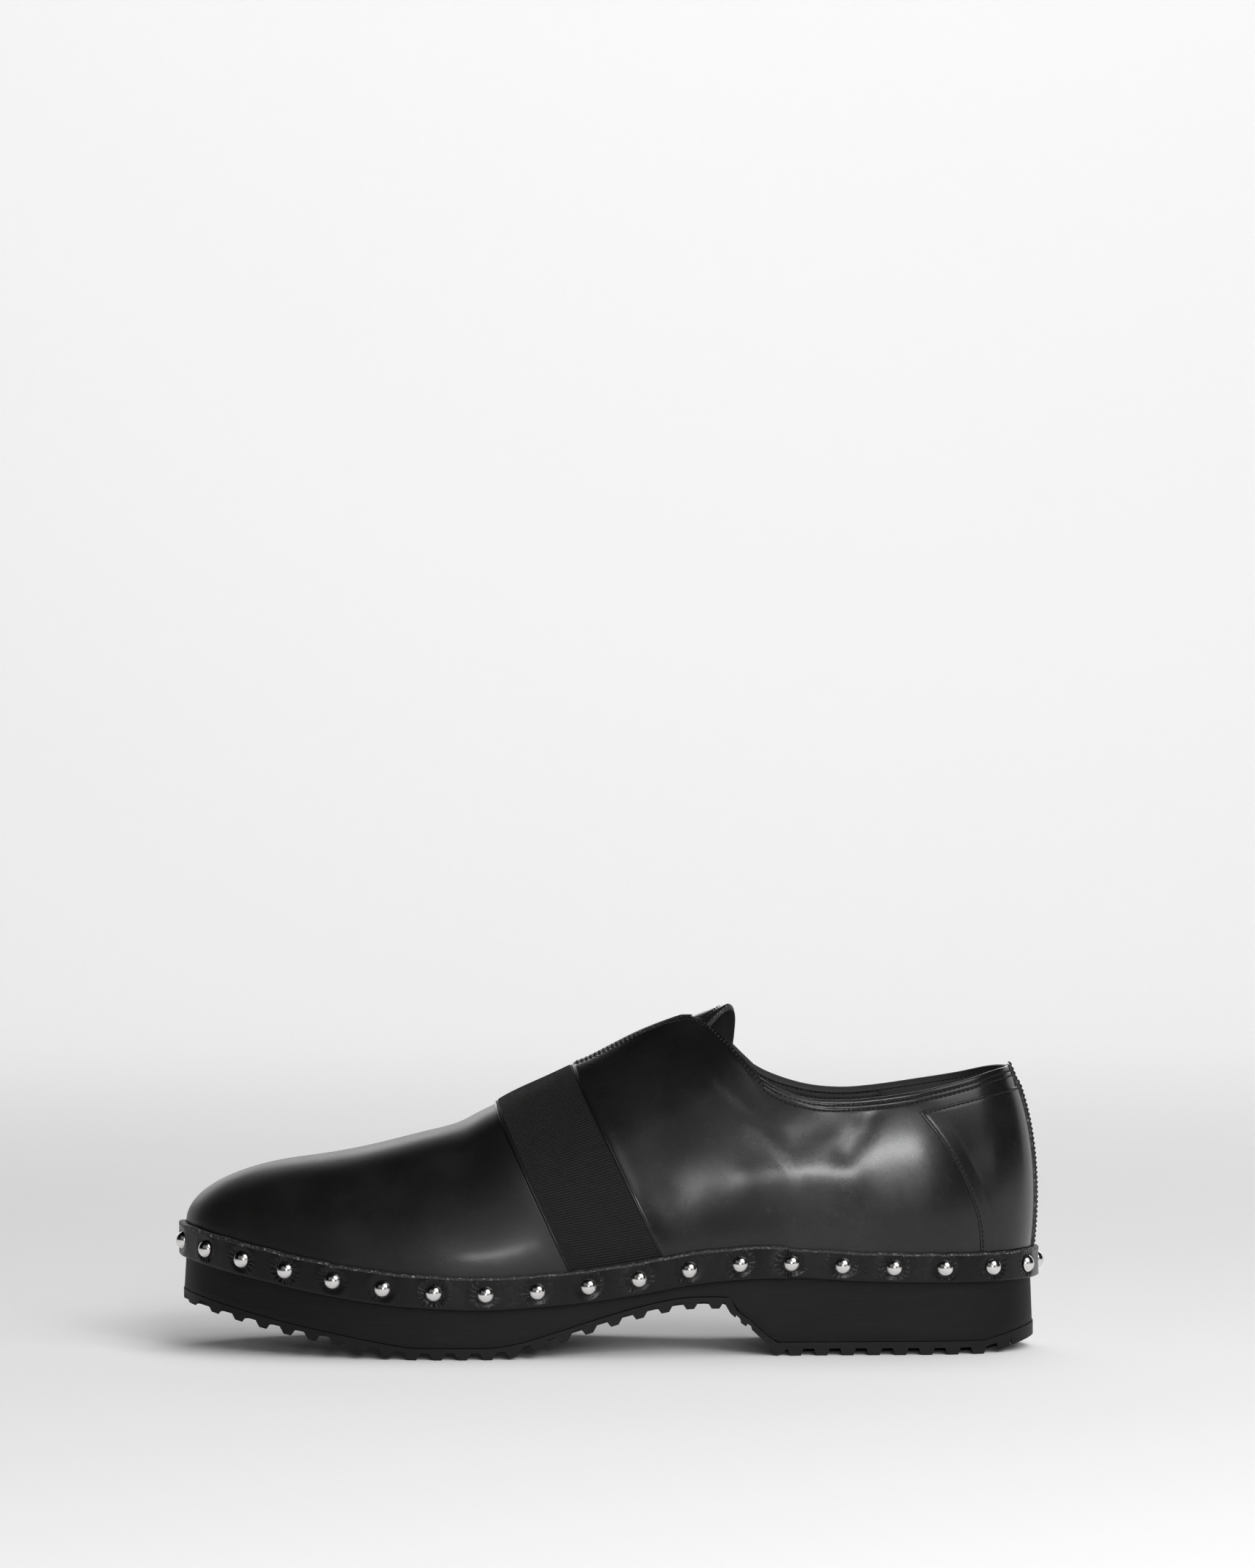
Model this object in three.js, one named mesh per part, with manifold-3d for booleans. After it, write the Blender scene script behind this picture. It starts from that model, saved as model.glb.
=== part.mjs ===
// Laceless derby shoe for the left foot, with an elastic gore, a studded rand and a lugged platform sole
// Millimetres: +X toward the toe, +Y to the outside of the foot, +Z up from the floor

import * as THREE from 'three';
import { mergeVertices } from 'three/addons/utils/BufferGeometryUtils.js';
import Module from 'manifold-3d';

const wasm = await Module();
wasm.setup();
const { Manifold, Mesh } = wasm;

// Main sizes of the last and the sole
const upperLength = 295.8;
const ballWidth = 101;
const instepRise = 87.7;
const collarRise = 68.2;
const platformHeight = 30;
const crestHeelInset = 45;
const crestToeInset = 45;

// Walls, layers and clearances
const gap = 0.3;
const upperWall = 2.4;
const straightRise = 6;
const goreWidth = 30.5;
const goreLean = 25.8;
const goreThickness = 0.9;
const goreSink = 0.4;
const counterThickness = 1.0;
const counterProud = 0.5;
const stripWidth = 7.5;
const stripThickness = 0.9;
const tongueThickness = 2.1;
const tongueClearance = 0.4;
const insoleThickness = 3;

// Rand and studs
const randHeight = 10.2;
const randThickness = 2.3;
const randEdgeRound = 0.6;
const randStep = 0.8;
const studDiameter = 5.9;
const studHeight = 2.0;
const studSpacing = 17.6;
const studsBehindJoint = 6;
const jointOffset = 1.2;

// Tread
const lugPitch = 8.6;
const lugDepth = 2.4;
const lugTipShare = 0.5;
const lugFlankShare = 0.14;
const outsoleBase = 1.5;
const heelBase = 2.6;
const soleFlare = 0.9;

// Mesh fineness
const stationSpacing = 10;
const turnSteps = 12;
const profileStep = 6;

// Half outline of the foot of the upper: shares of its length, and of half the ball width
const outlineTable = [
  { along: 0, lateral: 0, medial: 0 },
  { along: 0.0074, lateral: 0.226, medial: 0.226 },
  { along: 0.0286, lateral: 0.42, medial: 0.416 },
  { along: 0.064, lateral: 0.56, medial: 0.549 },
  { along: 0.118, lateral: 0.638, medial: 0.612 },
  { along: 0.202, lateral: 0.665, medial: 0.618 },
  { along: 0.303, lateral: 0.705, medial: 0.61 },
  { along: 0.404, lateral: 0.788, medial: 0.657 },
  { along: 0.505, lateral: 0.895, medial: 0.772 },
  { along: 0.6, lateral: 0.986, medial: 0.907 },
  { along: 0.684, lateral: 1.022, medial: 0.978 },
  { along: 0.761, lateral: 0.988, medial: 0.966 },
  { along: 0.829, lateral: 0.903, medial: 0.887 },
  { along: 0.886, lateral: 0.78, medial: 0.764 },
  { along: 0.933, lateral: 0.618, medial: 0.606 },
  { along: 0.969, lateral: 0.42, medial: 0.412 },
  { along: 0.991, lateral: 0.214, medial: 0.21 },
  { along: 1, lateral: 0, medial: 0 },
];

// Height of the top of the midsole, which the rand is centred on, as shares of the platform height
const footTable = [
  { along: 0, height: 1.01 },
  { along: 0.093, height: 1.0 },
  { along: 0.195, height: 1.015 },
  { along: 0.276, height: 1.06 },
  { along: 0.337, height: 1.065 },
  { along: 0.398, height: 1.015 },
  { along: 0.46, height: 0.915 },
  { along: 0.52, height: 0.833 },
  { along: 0.581, height: 0.78 },
  { along: 0.643, height: 0.75 },
  { along: 0.704, height: 0.77 },
  { along: 0.764, height: 0.82 },
  { along: 0.825, height: 0.91 },
  { along: 0.887, height: 1.03 },
  { along: 0.948, height: 1.155 },
  { along: 1, height: 1.27 },
];

// Crest of the last above the platform, as shares of the instep rise, and its lean, of the ball width
const crestTable = [
  { along: 0, height: 1.129, lean: 0 },
  { along: 0.126, height: 1.129, lean: 0 },
  { along: 0.227, height: 1.124, lean: 0 },
  { along: 0.311, height: 1.092, lean: -0.01 },
  { along: 0.362, height: 1.055, lean: -0.015 },
  { along: 0.409, height: 1.0, lean: -0.02 },
  { along: 0.463, height: 0.925, lean: -0.025 },
  { along: 0.524, height: 0.815, lean: -0.03 },
  { along: 0.567, height: 0.745, lean: -0.035 },
  { along: 0.618, height: 0.665, lean: -0.04 },
  { along: 0.652, height: 0.595, lean: -0.042 },
  { along: 0.679, height: 0.548, lean: -0.042 },
  { along: 0.722, height: 0.508, lean: -0.041 },
  { along: 0.773, height: 0.465, lean: -0.038 },
  { along: 0.823, height: 0.432, lean: -0.03 },
  { along: 0.884, height: 0.406, lean: -0.018 },
  { along: 0.941, height: 0.381, lean: -0.008 },
  { along: 1, height: 0.359, lean: 0 },
];

// Cross-sections of the last: power of the inward curve and outward bulge of each side
const sectionTable = [
  { along: 0, lateralPower: 1.08, lateralBulge: 0.11, medialPower: 1.08, medialBulge: 0.11 },
  { along: 0.1, lateralPower: 1.05, lateralBulge: 0.08, medialPower: 1.05, medialBulge: 0.08 },
  { along: 0.2, lateralPower: 1.05, lateralBulge: 0.05, medialPower: 1.05, medialBulge: 0.045 },
  { along: 0.4, lateralPower: 1.15, lateralBulge: 0.02, medialPower: 1.1, medialBulge: 0.02 },
  { along: 0.55, lateralPower: 1.15, lateralBulge: 0, medialPower: 1.05, medialBulge: 0 },
  { along: 0.68, lateralPower: 0.92, lateralBulge: 0, medialPower: 0.86, medialBulge: 0 },
  { along: 0.8, lateralPower: 0.8, lateralBulge: 0, medialPower: 0.76, medialBulge: 0 },
  { along: 1, lateralPower: 0.7, lateralBulge: 0, medialPower: 0.7, medialBulge: 0 },
];

// Collar line of each side above the platform, as shares of the collar rise
const collarTable = [
  { along: -0.04, lateral: 1.03, medial: 1.03 },
  { along: 0.035, lateral: 1.0, medial: 1.004 },
  { along: 0.082, lateral: 0.946, medial: 0.957 },
  { along: 0.126, lateral: 0.9, medial: 0.925 },
  { along: 0.183, lateral: 0.861, medial: 0.889 },
  { along: 0.225, lateral: 0.847, medial: 0.877 },
  { along: 0.268, lateral: 0.856, medial: 0.9 },
  { along: 0.311, lateral: 0.927, medial: 0.963 },
  { along: 0.334, lateral: 0.985, medial: 1.015 },
  { along: 0.349, lateral: 1.05, medial: 1.07 },
  { along: 0.364, lateral: 1.123, medial: 1.141 },
  { along: 0.378, lateral: 1.198, medial: 1.208 },
  { along: 0.391, lateral: 1.252, medial: 1.258 },
  { along: 0.403, lateral: 1.289, medial: 1.291 },
  { along: 0.412, lateral: 1.36, medial: 1.36 },
];

// Bottom of the sole between breast and toe, as shares of the platform height
const forefootTable = [
  { along: 0.358, height: 0.54 },
  { along: 0.369, height: 0.55 },
  { along: 0.41, height: 0.545 },
  { along: 0.45, height: 0.48 },
  { along: 0.49, height: 0.38 },
  { along: 0.53, height: 0.262 },
  { along: 0.567, height: 0.15 },
  { along: 0.601, height: 0.055 },
  { along: 0.636, height: 0 },
  { along: 0.722, height: 0 },
  { along: 0.773, height: 0.075 },
  { along: 0.82, height: 0.163 },
  { along: 0.874, height: 0.267 },
  { along: 0.928, height: 0.387 },
  { along: 0.978, height: 0.503 },
  { along: 1.02, height: 0.6 },
];

// Front of the heel, from the waist down to the floor: shares of the length and the platform height
const breastTable = [
  { along: 0.358, height: 0.5 },
  { along: 0.345, height: 0.38 },
  { along: 0.331, height: 0.29 },
  { along: 0.313, height: 0.12 },
  { along: 0.303, height: 0 },
];

// Bevel under the back of the heel, and where the gore and the counter lie, along the upper
const heelBevelStart = 0.06;
const heelBevelHeight = 0.15;
const goreFrontAlong = 0.633;
const goreFrontHeight = 0.623;
const slitFrontAlong = 0.537;
const slitFrontWidth = 3;
const slitRearWidth = 10;
const slitRearAlong = 0.38;

// Front and top edges of the counter in side view: shares of the length and the collar rise
const counterTable = [
  { along: -0.03, height: 0.915 },
  { along: 0.03, height: 0.893 },
  { along: 0.092, height: 0.833 },
  { along: 0.137, height: 0.786 },
  { along: 0.113, height: 0.654 },
  { along: 0.089, height: 0.485 },
  { along: 0.075, height: 0.342 },
  { along: 0.067, height: 0.216 },
  { along: 0.065, height: 0.088 },
  { along: 0.065, height: -0.1 },
  { along: -0.03, height: -0.1 },
];

// Outline of the tongue seen from above: shares of the length, and of half the ball width
const tongueTable = [
  { along: 0.655, side: 0.3 },
  { along: 0.55, side: 0.36 },
  { along: 0.44, side: 0.4 },
  { along: 0.41, side: 0.34 },
  { along: 0.385, side: 0.19 },
  { along: 0.363, side: 0.02 },
  { along: 0.352, side: -0.12 },
  { along: 0.35, side: -0.25 },
  { along: 0.356, side: -0.37 },
  { along: 0.381, side: -0.46 },
  { along: 0.44, side: -0.49 },
  { along: 0.55, side: -0.45 },
  { along: 0.655, side: -0.42 },
];

const halfBall = ballWidth / 2;
const randOffset = gap + randThickness;
const goreRecess = goreSink + goreThickness + gap;
const counterInside = counterProud - counterThickness;
const counterRecess = counterInside - gap;

// Smooth curve through one column of a table, straight on past its ends
function curve(table, column) {
  const slopes = table.map((row, i) => {
    const before = table[Math.max(i - 1, 0)];
    const after = table[Math.min(i + 1, table.length - 1)];
    return (after[column] - before[column]) / (after.along - before.along);
  });
  const last = table.length - 1;
  return (along) => {
    if (along <= table[0].along) return table[0][column] + slopes[0] * (along - table[0].along);
    if (along >= table[last].along) return table[last][column] + slopes[last] * (along - table[last].along);
    const i = table.findIndex((row) => row.along > along) - 1;
    const span = table[i + 1].along - table[i].along;
    const u = (along - table[i].along) / span;
    const rise = (3 - 2 * u) * u * u;
    const blend = table[i][column] * (1 - rise) + table[i + 1][column] * rise;
    const bend = slopes[i] * (1 - u) * (1 - u) * u - slopes[i + 1] * (1 - u) * u * u;
    return blend + bend * span;
  };
}

const footShare = curve(footTable, 'height');
const crestShare = curve(crestTable, 'height');
const leanShare = curve(crestTable, 'lean');
const lateralPower = curve(sectionTable, 'lateralPower');
const lateralBulge = curve(sectionTable, 'lateralBulge');
const medialPower = curve(sectionTable, 'medialPower');
const medialBulge = curve(sectionTable, 'medialBulge');
const lateralCollar = curve(collarTable, 'lateral');
const medialCollar = curve(collarTable, 'medial');
const treadShare = curve(forefootTable, 'height');

const footHeight = (x) => platformHeight * footShare(x / upperLength);
const crestHeight = (x) => platformHeight + instepRise * crestShare(x / upperLength);
const crestLean = (x) => ballWidth * leanShare(x / upperLength);
const treadHeight = (x) => Math.max(0, platformHeight * treadShare(x / upperLength));

// Outline of the foot as a closed curve: heel, outer side, toe, inner side
function outlineCurve() {
  const point = (row, side, sign) =>
    new THREE.Vector3(row.along * upperLength, sign * row[side] * halfBall, 0);
  const lateral = outlineTable.map((row) => point(row, 'lateral', 1));
  const medial = outlineTable.slice(1, -1).reverse().map((row) => point(row, 'medial', -1));
  return new THREE.CatmullRomCurve3([...lateral, ...medial], true, 'catmullrom', 0.5);
}
const outline = outlineCurve();

// Curve parameters from heel to toe on the outer side, about one spacing apart
function sideStations() {
  const knots = outlineTable.length - 1;
  const stations = [];
  for (let i = 0; i < knots; i += 1) {
    const from = outline.getPoint(i / (2 * knots));
    const to = outline.getPoint((i + 1) / (2 * knots));
    const steps = Math.max(1, Math.round(from.distanceTo(to) / stationSpacing));
    for (let k = 0; k < steps; k += 1) stations.push((i + k / steps) / (2 * knots));
  }
  stations.push(0.5);
  return stations;
}
const stations = sideStations();
const stationLoop = [...stations, ...stations.slice(1, -1).reverse().map((t) => 1 - t)];
const columns = stationLoop.length;

// Column across the shoe from a column, at the same distance along
const across = (i) => (columns - i) % columns;

// Point of the outline moved outward in plan
function outlinePoint(t, outward, height) {
  const wrapped = ((t % 1) + 1) % 1;
  const at = outline.getPoint(wrapped);
  const along = outline.getTangent(wrapped);
  const away = new THREE.Vector3(-along.y, along.x, 0).normalize();
  const moved = at.clone().addScaledVector(away, outward);
  return new THREE.Vector3(moved.x, moved.y, height(at.x));
}

// Point of the last: turn 0 is at the foot of the wall, turn 1 on the crest
function lastPoint(t, turn) {
  const foot = outline.getPoint(t);
  const share = foot.x / upperLength;
  const crestX = crestHeelInset + share * (upperLength - crestHeelInset - crestToeInset);
  const lateral = t <= 0.5;
  const power = lateral ? lateralPower(share) : medialPower(share);
  const bulge = lateral ? lateralBulge(share) : medialBulge(share);
  const angle = turn * Math.PI / 2;
  const cosine = turn >= 1 ? 0 : Math.cos(angle);
  const reach = Math.pow(cosine, power) + bulge * 2 * Math.sin(angle) * cosine;
  const x = crestX + (foot.x - crestX) * reach;
  const y = crestLean(crestX) + (foot.y - crestLean(crestX)) * reach;
  const base = footHeight(foot.x) + straightRise;
  return new THREE.Vector3(x, y, base + (crestHeight(x) - base) * Math.sin(angle));
}

// Rows of points of the last from the bottom edge to the crest, for each column of the outline
function lastRows() {
  const rows = [stationLoop.map((t) => outlinePoint(t, 0, (x) => footHeight(x) + gap))];
  for (let k = 0; k <= turnSteps; k += 1) {
    rows.push(stationLoop.map((t) => lastPoint(t, k / turnSteps)));
  }
  return rows;
}
const rows = lastRows();

// Two triangles for each cell of a grid of rows, closed round from the last column to the first
function gridTriangles(grid, inward) {
  const triangles = [];
  for (let r = 0; r + 1 < grid.length; r += 1) {
    for (let i = 0; i < columns; i += 1) {
      const j = (i + 1) % columns;
      const cell = [grid[r][i], grid[r][j], grid[r + 1][j], grid[r + 1][i]];
      if (inward) cell.reverse();
      triangles.push([cell[0], cell[1], cell[2]], [cell[0], cell[2], cell[3]]);
    }
  }
  return triangles;
}

const pointKey = (p) => `${Math.round(p.x * 1e4)},${Math.round(p.y * 1e4)},${Math.round(p.z * 1e4)}`;

// Outward direction at each point of the last, averaged over the triangles that meet there
function lastNormals() {
  const sums = new Map();
  for (const [a, b, c] of gridTriangles(rows, true)) {
    const face = new THREE.Vector3().subVectors(b, a).cross(new THREE.Vector3().subVectors(c, a));
    for (const p of [a, b, c]) {
      const key = pointKey(p);
      if (!sums.has(key)) sums.set(key, new THREE.Vector3());
      sums.get(key).add(face);
    }
  }
  return rows.map((row) => row.map((p) => sums.get(pointKey(p)).clone().normalize()));
}
const normals = lastNormals();

// Rows of the last moved outward by a distance
const movedRows = (outward) =>
  rows.map((row, r) => row.map((p, i) => p.clone().addScaledVector(normals[r][i], outward)));

// Geometry from a list of triangles, with faces turned outward
function geometryOf(triangles) {
  let volume = 0;
  for (const [a, b, c] of triangles) volume += a.dot(new THREE.Vector3().crossVectors(b, c));
  const positions = [];
  for (const [a, b, c] of triangles) {
    for (const p of volume < 0 ? [a, c, b] : [a, b, c]) positions.push(p.x, p.y, p.z);
  }
  const geometry = new THREE.BufferGeometry();
  geometry.setAttribute('position', new THREE.Float32BufferAttribute(positions, 3));
  return geometry;
}

// Solid for cutting and joining from a closed geometry
function toSolid(geometry) {
  const bare = geometry.clone();
  bare.deleteAttribute('normal');
  bare.deleteAttribute('uv');
  const merged = mergeVertices(bare, 1e-4);
  return new Manifold(new Mesh({
    numProp: 3,
    vertProperties: Float32Array.from(merged.attributes.position.array),
    triVerts: Uint32Array.from(merged.index.array),
  }));
}

// Geometry of a finished solid
function toGeometry(solid) {
  const mesh = solid.getMesh();
  const geometry = new THREE.BufferGeometry();
  geometry.setAttribute('position', new THREE.BufferAttribute(mesh.vertProperties, 3));
  geometry.setIndex(new THREE.BufferAttribute(mesh.triVerts, 1));
  geometry.computeVertexNormals();
  return geometry;
}

// Layer between two distances from the last, open underneath, its bottom edge lowered by a distance
function lastLayer(outside, inside, lower = 0) {
  const outer = movedRows(outside);
  const inner = movedRows(inside);
  for (const p of [...outer[0], ...inner[0]]) p.z -= lower;
  return toSolid(geometryOf([
    ...gridTriangles(outer, true),
    ...gridTriangles(inner, false),
    ...gridTriangles([inner[0], outer[0]], true),
  ]));
}

// Solid between stacked outlines, the first one lowest
function stackedSolid(rings) {
  const triangles = gridTriangles(rings, true);
  const half = columns / 2;
  const cap = (ring, inward) => {
    for (let i = 0; i < half; i += 1) {
      const cell = [ring[i], ring[i + 1], ring[across(i + 1)], ring[across(i)]];
      if (inward) cell.reverse();
      if (i > 0) triangles.push([cell[0], cell[2], cell[3]]);
      if (i + 1 < half) triangles.push([cell[0], cell[1], cell[2]]);
      if (i === 0 && i + 1 >= half) triangles.push([cell[0], cell[1], cell[2]]);
    }
  };
  cap(rings[0], false);
  cap(rings[rings.length - 1], true);
  return toSolid(geometryOf(triangles));
}

// Corners of a closed outline, without the points that lie straight between their neighbours
function cornersOf(points) {
  return points.filter(([x, z], i) => {
    const [beforeX, beforeZ] = points[(i + points.length - 1) % points.length];
    const [afterX, afterZ] = points[(i + 1) % points.length];
    return Math.abs((x - beforeX) * (afterZ - z) - (z - beforeZ) * (afterX - x)) > 1e-6;
  });
}

// Outline drawn in side view, run across the shoe
function sideBlock(points) {
  const shape = new THREE.Shape(cornersOf(points).map(([x, z]) => new THREE.Vector2(x, z)));
  const geometry = new THREE.ExtrudeGeometry(shape, { depth: 2 * ballWidth, bevelEnabled: false });
  geometry.rotateX(Math.PI / 2);
  geometry.translate(0, ballWidth, 0);
  return toSolid(geometry);
}

// Outline drawn from above, run from the floor to above the shoe
function planBlock(points) {
  const shape = new THREE.Shape(points.map(([x, y]) => new THREE.Vector2(x, y)));
  const height = 2 * (platformHeight + instepRise);
  return toSolid(new THREE.ExtrudeGeometry(shape, { depth: height, bevelEnabled: false }));
}

// Evenly spread values from one end to the other
function spread(from, to, step) {
  const count = Math.max(1, Math.ceil(Math.abs(to - from) / step));
  return Array.from({ length: count + 1 }, (unused, i) => from + (to - from) * i / count);
}

// Block over the collar line, which is higher on the inner side of the foot
function collarBlock() {
  const from = collarTable[0].along * upperLength;
  const to = collarTable[collarTable.length - 1].along * upperLength;
  const top = 2 * (platformHeight + instepRise);
  const lineAt = (x, side) => {
    const share = x / upperLength;
    const middle = (lateralCollar(share) + medialCollar(share)) / 2;
    const tilt = (lateralCollar(share) - medialCollar(share)) * side;
    return platformHeight + collarRise * (middle + tilt);
  };
  const sections = [1, -1].map((side) => {
    const line = spread(from, to, profileStep / 2);
    const low = line.map((x) => new THREE.Vector3(x, side * ballWidth, lineAt(x, side * 1.5)));
    const high = line.map((x) => new THREE.Vector3(x, side * ballWidth, top));
    return { low, high };
  });
  const [left, right] = sections;
  const triangles = [];
  const quad = (a, b, c, d) => triangles.push([a, b, c], [a, c, d]);
  const end = left.low.length - 1;
  for (let i = 0; i < end; i += 1) {
    quad(left.low[i], left.low[i + 1], right.low[i + 1], right.low[i]);
    quad(left.high[i], right.high[i], right.high[i + 1], left.high[i + 1]);
    quad(left.low[i], left.high[i], left.high[i + 1], left.low[i + 1]);
    quad(right.low[i], right.low[i + 1], right.high[i + 1], right.high[i]);
  }
  quad(left.low[0], right.low[0], right.high[0], left.high[0]);
  quad(left.low[end], left.high[end], right.high[end], right.low[end]);
  return toSolid(geometryOf(triangles));
}

// Slanted strip in side view that the elastic crosses the instep in, wider by a margin on each edge
function goreBlock(margin) {
  const lean = THREE.MathUtils.degToRad(goreLean);
  const up = new THREE.Vector2(Math.sin(lean), Math.cos(lean));
  const back = new THREE.Vector2(-up.y, up.x);
  const front = new THREE.Vector2(goreFrontAlong * upperLength, platformHeight + goreFrontHeight * instepRise);
  const reach = platformHeight + instepRise;
  const corner = (rise, width) => {
    const p = front.clone().addScaledVector(up, rise).addScaledVector(back, width);
    return [p.x, p.y];
  };
  return sideBlock([
    corner(-reach, -margin),
    corner(reach, -margin),
    corner(reach, goreWidth + margin),
    corner(-reach, goreWidth + margin),
  ]);
}

// Side view of the counter, wider by a margin
function counterBlock(margin) {
  const points = counterTable.map((row) => [row.along * upperLength, platformHeight + row.height * collarRise]);
  const middle = points.reduce((sum, p) => [sum[0] + p[0] / points.length, sum[1] + p[1] / points.length], [0, 0]);
  return sideBlock(points.map(([x, z]) => {
    const away = new THREE.Vector2(x - middle[0], z - middle[1]);
    const grown = away.clone().setLength(away.length() + margin * 1.5);
    return [middle[0] + grown.x, middle[1] + grown.y];
  }));
}

// Slit between the two facings of the throat, widening to the collar
function slitBlock() {
  const front = slitFrontAlong * upperLength;
  const rear = slitRearAlong * upperLength;
  const frontLean = crestLean(front);
  const rearLean = crestLean(rear);
  return planBlock([
    [front, frontLean - slitFrontWidth / 2],
    [front, frontLean + slitFrontWidth / 2],
    [rear, rearLean + slitRearWidth / 2],
    [rear - slitRearWidth, rearLean + slitRearWidth / 2],
    [rear - slitRearWidth, rearLean - slitRearWidth / 2],
    [rear, rearLean - slitRearWidth / 2],
  ]);
}

// Block above the top edge of the heel piece of the rand, clear of it by a distance
function aboveRand(clearance) {
  const line = spread(-2 * randOffset, upperLength, profileStep)
    .map((x) => [x, footHeight(x) + randHeight / 2 + clearance]);
  const top = 2 * (platformHeight + instepRise);
  return sideBlock([...line, [upperLength, top], [-2 * randOffset, top]]);
}

// Counter region of a layer of the last, above the rand
function counterLayer(outside, inside, margin, clearance) {
  return lastLayer(outside, inside).intersect(counterBlock(margin)).intersect(aboveRand(clearance));
}

// Hollow upper: the wall of the last, cut for the collar, the slit, the gore and the counter
function upperSolid() {
  return lastLayer(0, -upperWall)
    .subtract(collarBlock())
    .subtract(slitBlock())
    .subtract(lastLayer(upperWall, -goreRecess, upperWall).intersect(goreBlock(gap)))
    .subtract(counterLayer(upperWall, counterRecess, gap, 0));
}

// Elastic strip laid in its recess, from the rand over the instep to the rand
function goreSolid() {
  return lastLayer(-goreSink, -goreSink - goreThickness).intersect(goreBlock(0));
}

// Leather counter round the heel, standing a little proud
function counterSolid() {
  return counterLayer(counterProud, counterInside, 0, gap).subtract(collarBlock());
}

// Narrow strip over the seam at the back of the heel
function backStripSolid() {
  const inside = counterProud + gap;
  const half = stripWidth / 2;
  const reach = crestHeelInset;
  const strip = planBlock([[-reach, -half], [reach, -half], [reach, half], [-reach, half]]);
  return lastLayer(inside + stripThickness, inside)
    .intersect(strip)
    .intersect(aboveRand(gap))
    .subtract(collarBlock());
}

// Tongue under the facings, with a skewed round end above the collar
function tongueSolid() {
  const outside = -upperWall - tongueClearance;
  const points = tongueTable.map((row) => [row.along * upperLength, row.side * halfBall]);
  return lastLayer(outside, outside - tongueThickness).intersect(planBlock(points));
}

// Insole inside the foot of the upper
function insoleSolid() {
  const inset = -(upperWall + gap);
  const ring = (rise) => stationLoop.map((t) => {
    const p = outlinePoint(t, inset, footHeight);
    return new THREE.Vector3(p.x, p.y, footHeight(p.x) + rise);
  });
  return stackedSolid([ring(gap), ring(gap + insoleThickness)]);
}

// Full block of the sole, from under the floor to the foot of the upper
function soleBlank() {
  const randBottom = (x) => footHeight(x) - randHeight / 2 - randStep;
  return stackedSolid([
    stationLoop.map((t) => outlinePoint(t, soleFlare, () => -gap)),
    stationLoop.map((t) => outlinePoint(t, soleFlare, (x) => treadHeight(x))),
    stationLoop.map((t) => outlinePoint(t, 0, randBottom)),
    stationLoop.map((t) => outlinePoint(t, 0, footHeight)),
  ]);
}

// Height of the bottom of the heel, which rises in a bevel at the back
function heelBottom(x) {
  const start = heelBevelStart * upperLength;
  return x >= start ? 0 : heelBevelHeight * platformHeight * (1 - x / start);
}

// Line of lugs along a bottom line, from one end to the other, roots a lug's depth above the tips
function lugLine(from, to, height, depth) {
  const count = Math.max(1, Math.round(Math.abs(to - from) / lugPitch));
  const pitch = (to - from) / count;
  const line = [];
  for (let i = 0; i < count; i += 1) {
    const start = from + i * pitch;
    const tip = start + pitch * lugFlankShare;
    const tipEnd = tip + pitch * lugTipShare;
    const root = tipEnd + pitch * lugFlankShare;
    line.push([start, height(start) + depth]);
    line.push([tip, height(tip)]);
    line.push([tipEnd, height(tipEnd)]);
    line.push([root, height(root) + depth]);
  }
  return line;
}

// Front of the heel in side view, moved back and up into the sole by a distance
function breastLine(inset) {
  return breastTable.map((row) => [row.along * upperLength + inset * 0.3, row.height * platformHeight + inset]);
}

// Line between the outsole and the midsole in side view, from toe to heel, raised by a distance
function partingLine(raise) {
  const toe = upperLength + 2 * randOffset;
  const breast = breastTable[0].along * upperLength;
  const thick = lugDepth + outsoleBase;
  const front = spread(toe, breast, profileStep).map((x) => [x, treadHeight(x) + thick + raise]);
  const slope = breastLine(thick).slice(1, -1).map(([x, z]) => [x, z + raise]);
  const floor = lugDepth + heelBase;
  const heelFront = breastTable[breastTable.length - 1].along * upperLength;
  const heel = spread(heelFront, -2 * randOffset, profileStep).map((x) => [x, floor + heelBottom(x) + raise]);
  return [...front, ...slope.filter(([x, z]) => z > floor + raise), ...heel];
}

// Outsole with its lugs
function outsoleSolid(blank) {
  const toe = upperLength + randOffset;
  const breast = breastTable[0].along * upperLength;
  const heelFront = breastTable[breastTable.length - 1].along * upperLength;
  const back = -randOffset;
  const bottom = [
    [back, heelBottom(back) + lugDepth],
    ...lugLine(back + lugPitch / 4, heelFront, heelBottom, lugDepth),
    [heelFront, 0],
    ...breastLine(0).slice(0, -1).reverse(),
    ...lugLine(breast + lugPitch / 4, toe, treadHeight, lugDepth),
    [toe, treadHeight(toe) + lugDepth],
  ];
  return blank.intersect(sideBlock([...bottom, ...partingLine(0)]));
}

// Midsole wedge between the outsole and the foot of the upper
function midsoleSolid(blank) {
  const top = 2 * platformHeight;
  const toe = upperLength + 2 * randOffset;
  return blank.intersect(sideBlock([...partingLine(gap), [-2 * randOffset, top], [toe, top]]));
}

// Lengths along the outside of the rand, at fine steps of the outline parameter
function randMeasure() {
  const steps = 2000;
  const lengths = [0];
  let before = outlinePoint(0, randOffset, footHeight);
  for (let i = 1; i <= steps; i += 1) {
    const here = outlinePoint(i / steps, randOffset, footHeight);
    lengths.push(lengths[i - 1] + here.distanceTo(before));
    before = here;
  }
  return lengths;
}
const randLengths = randMeasure();
const randLength = randLengths[randLengths.length - 1];

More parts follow.
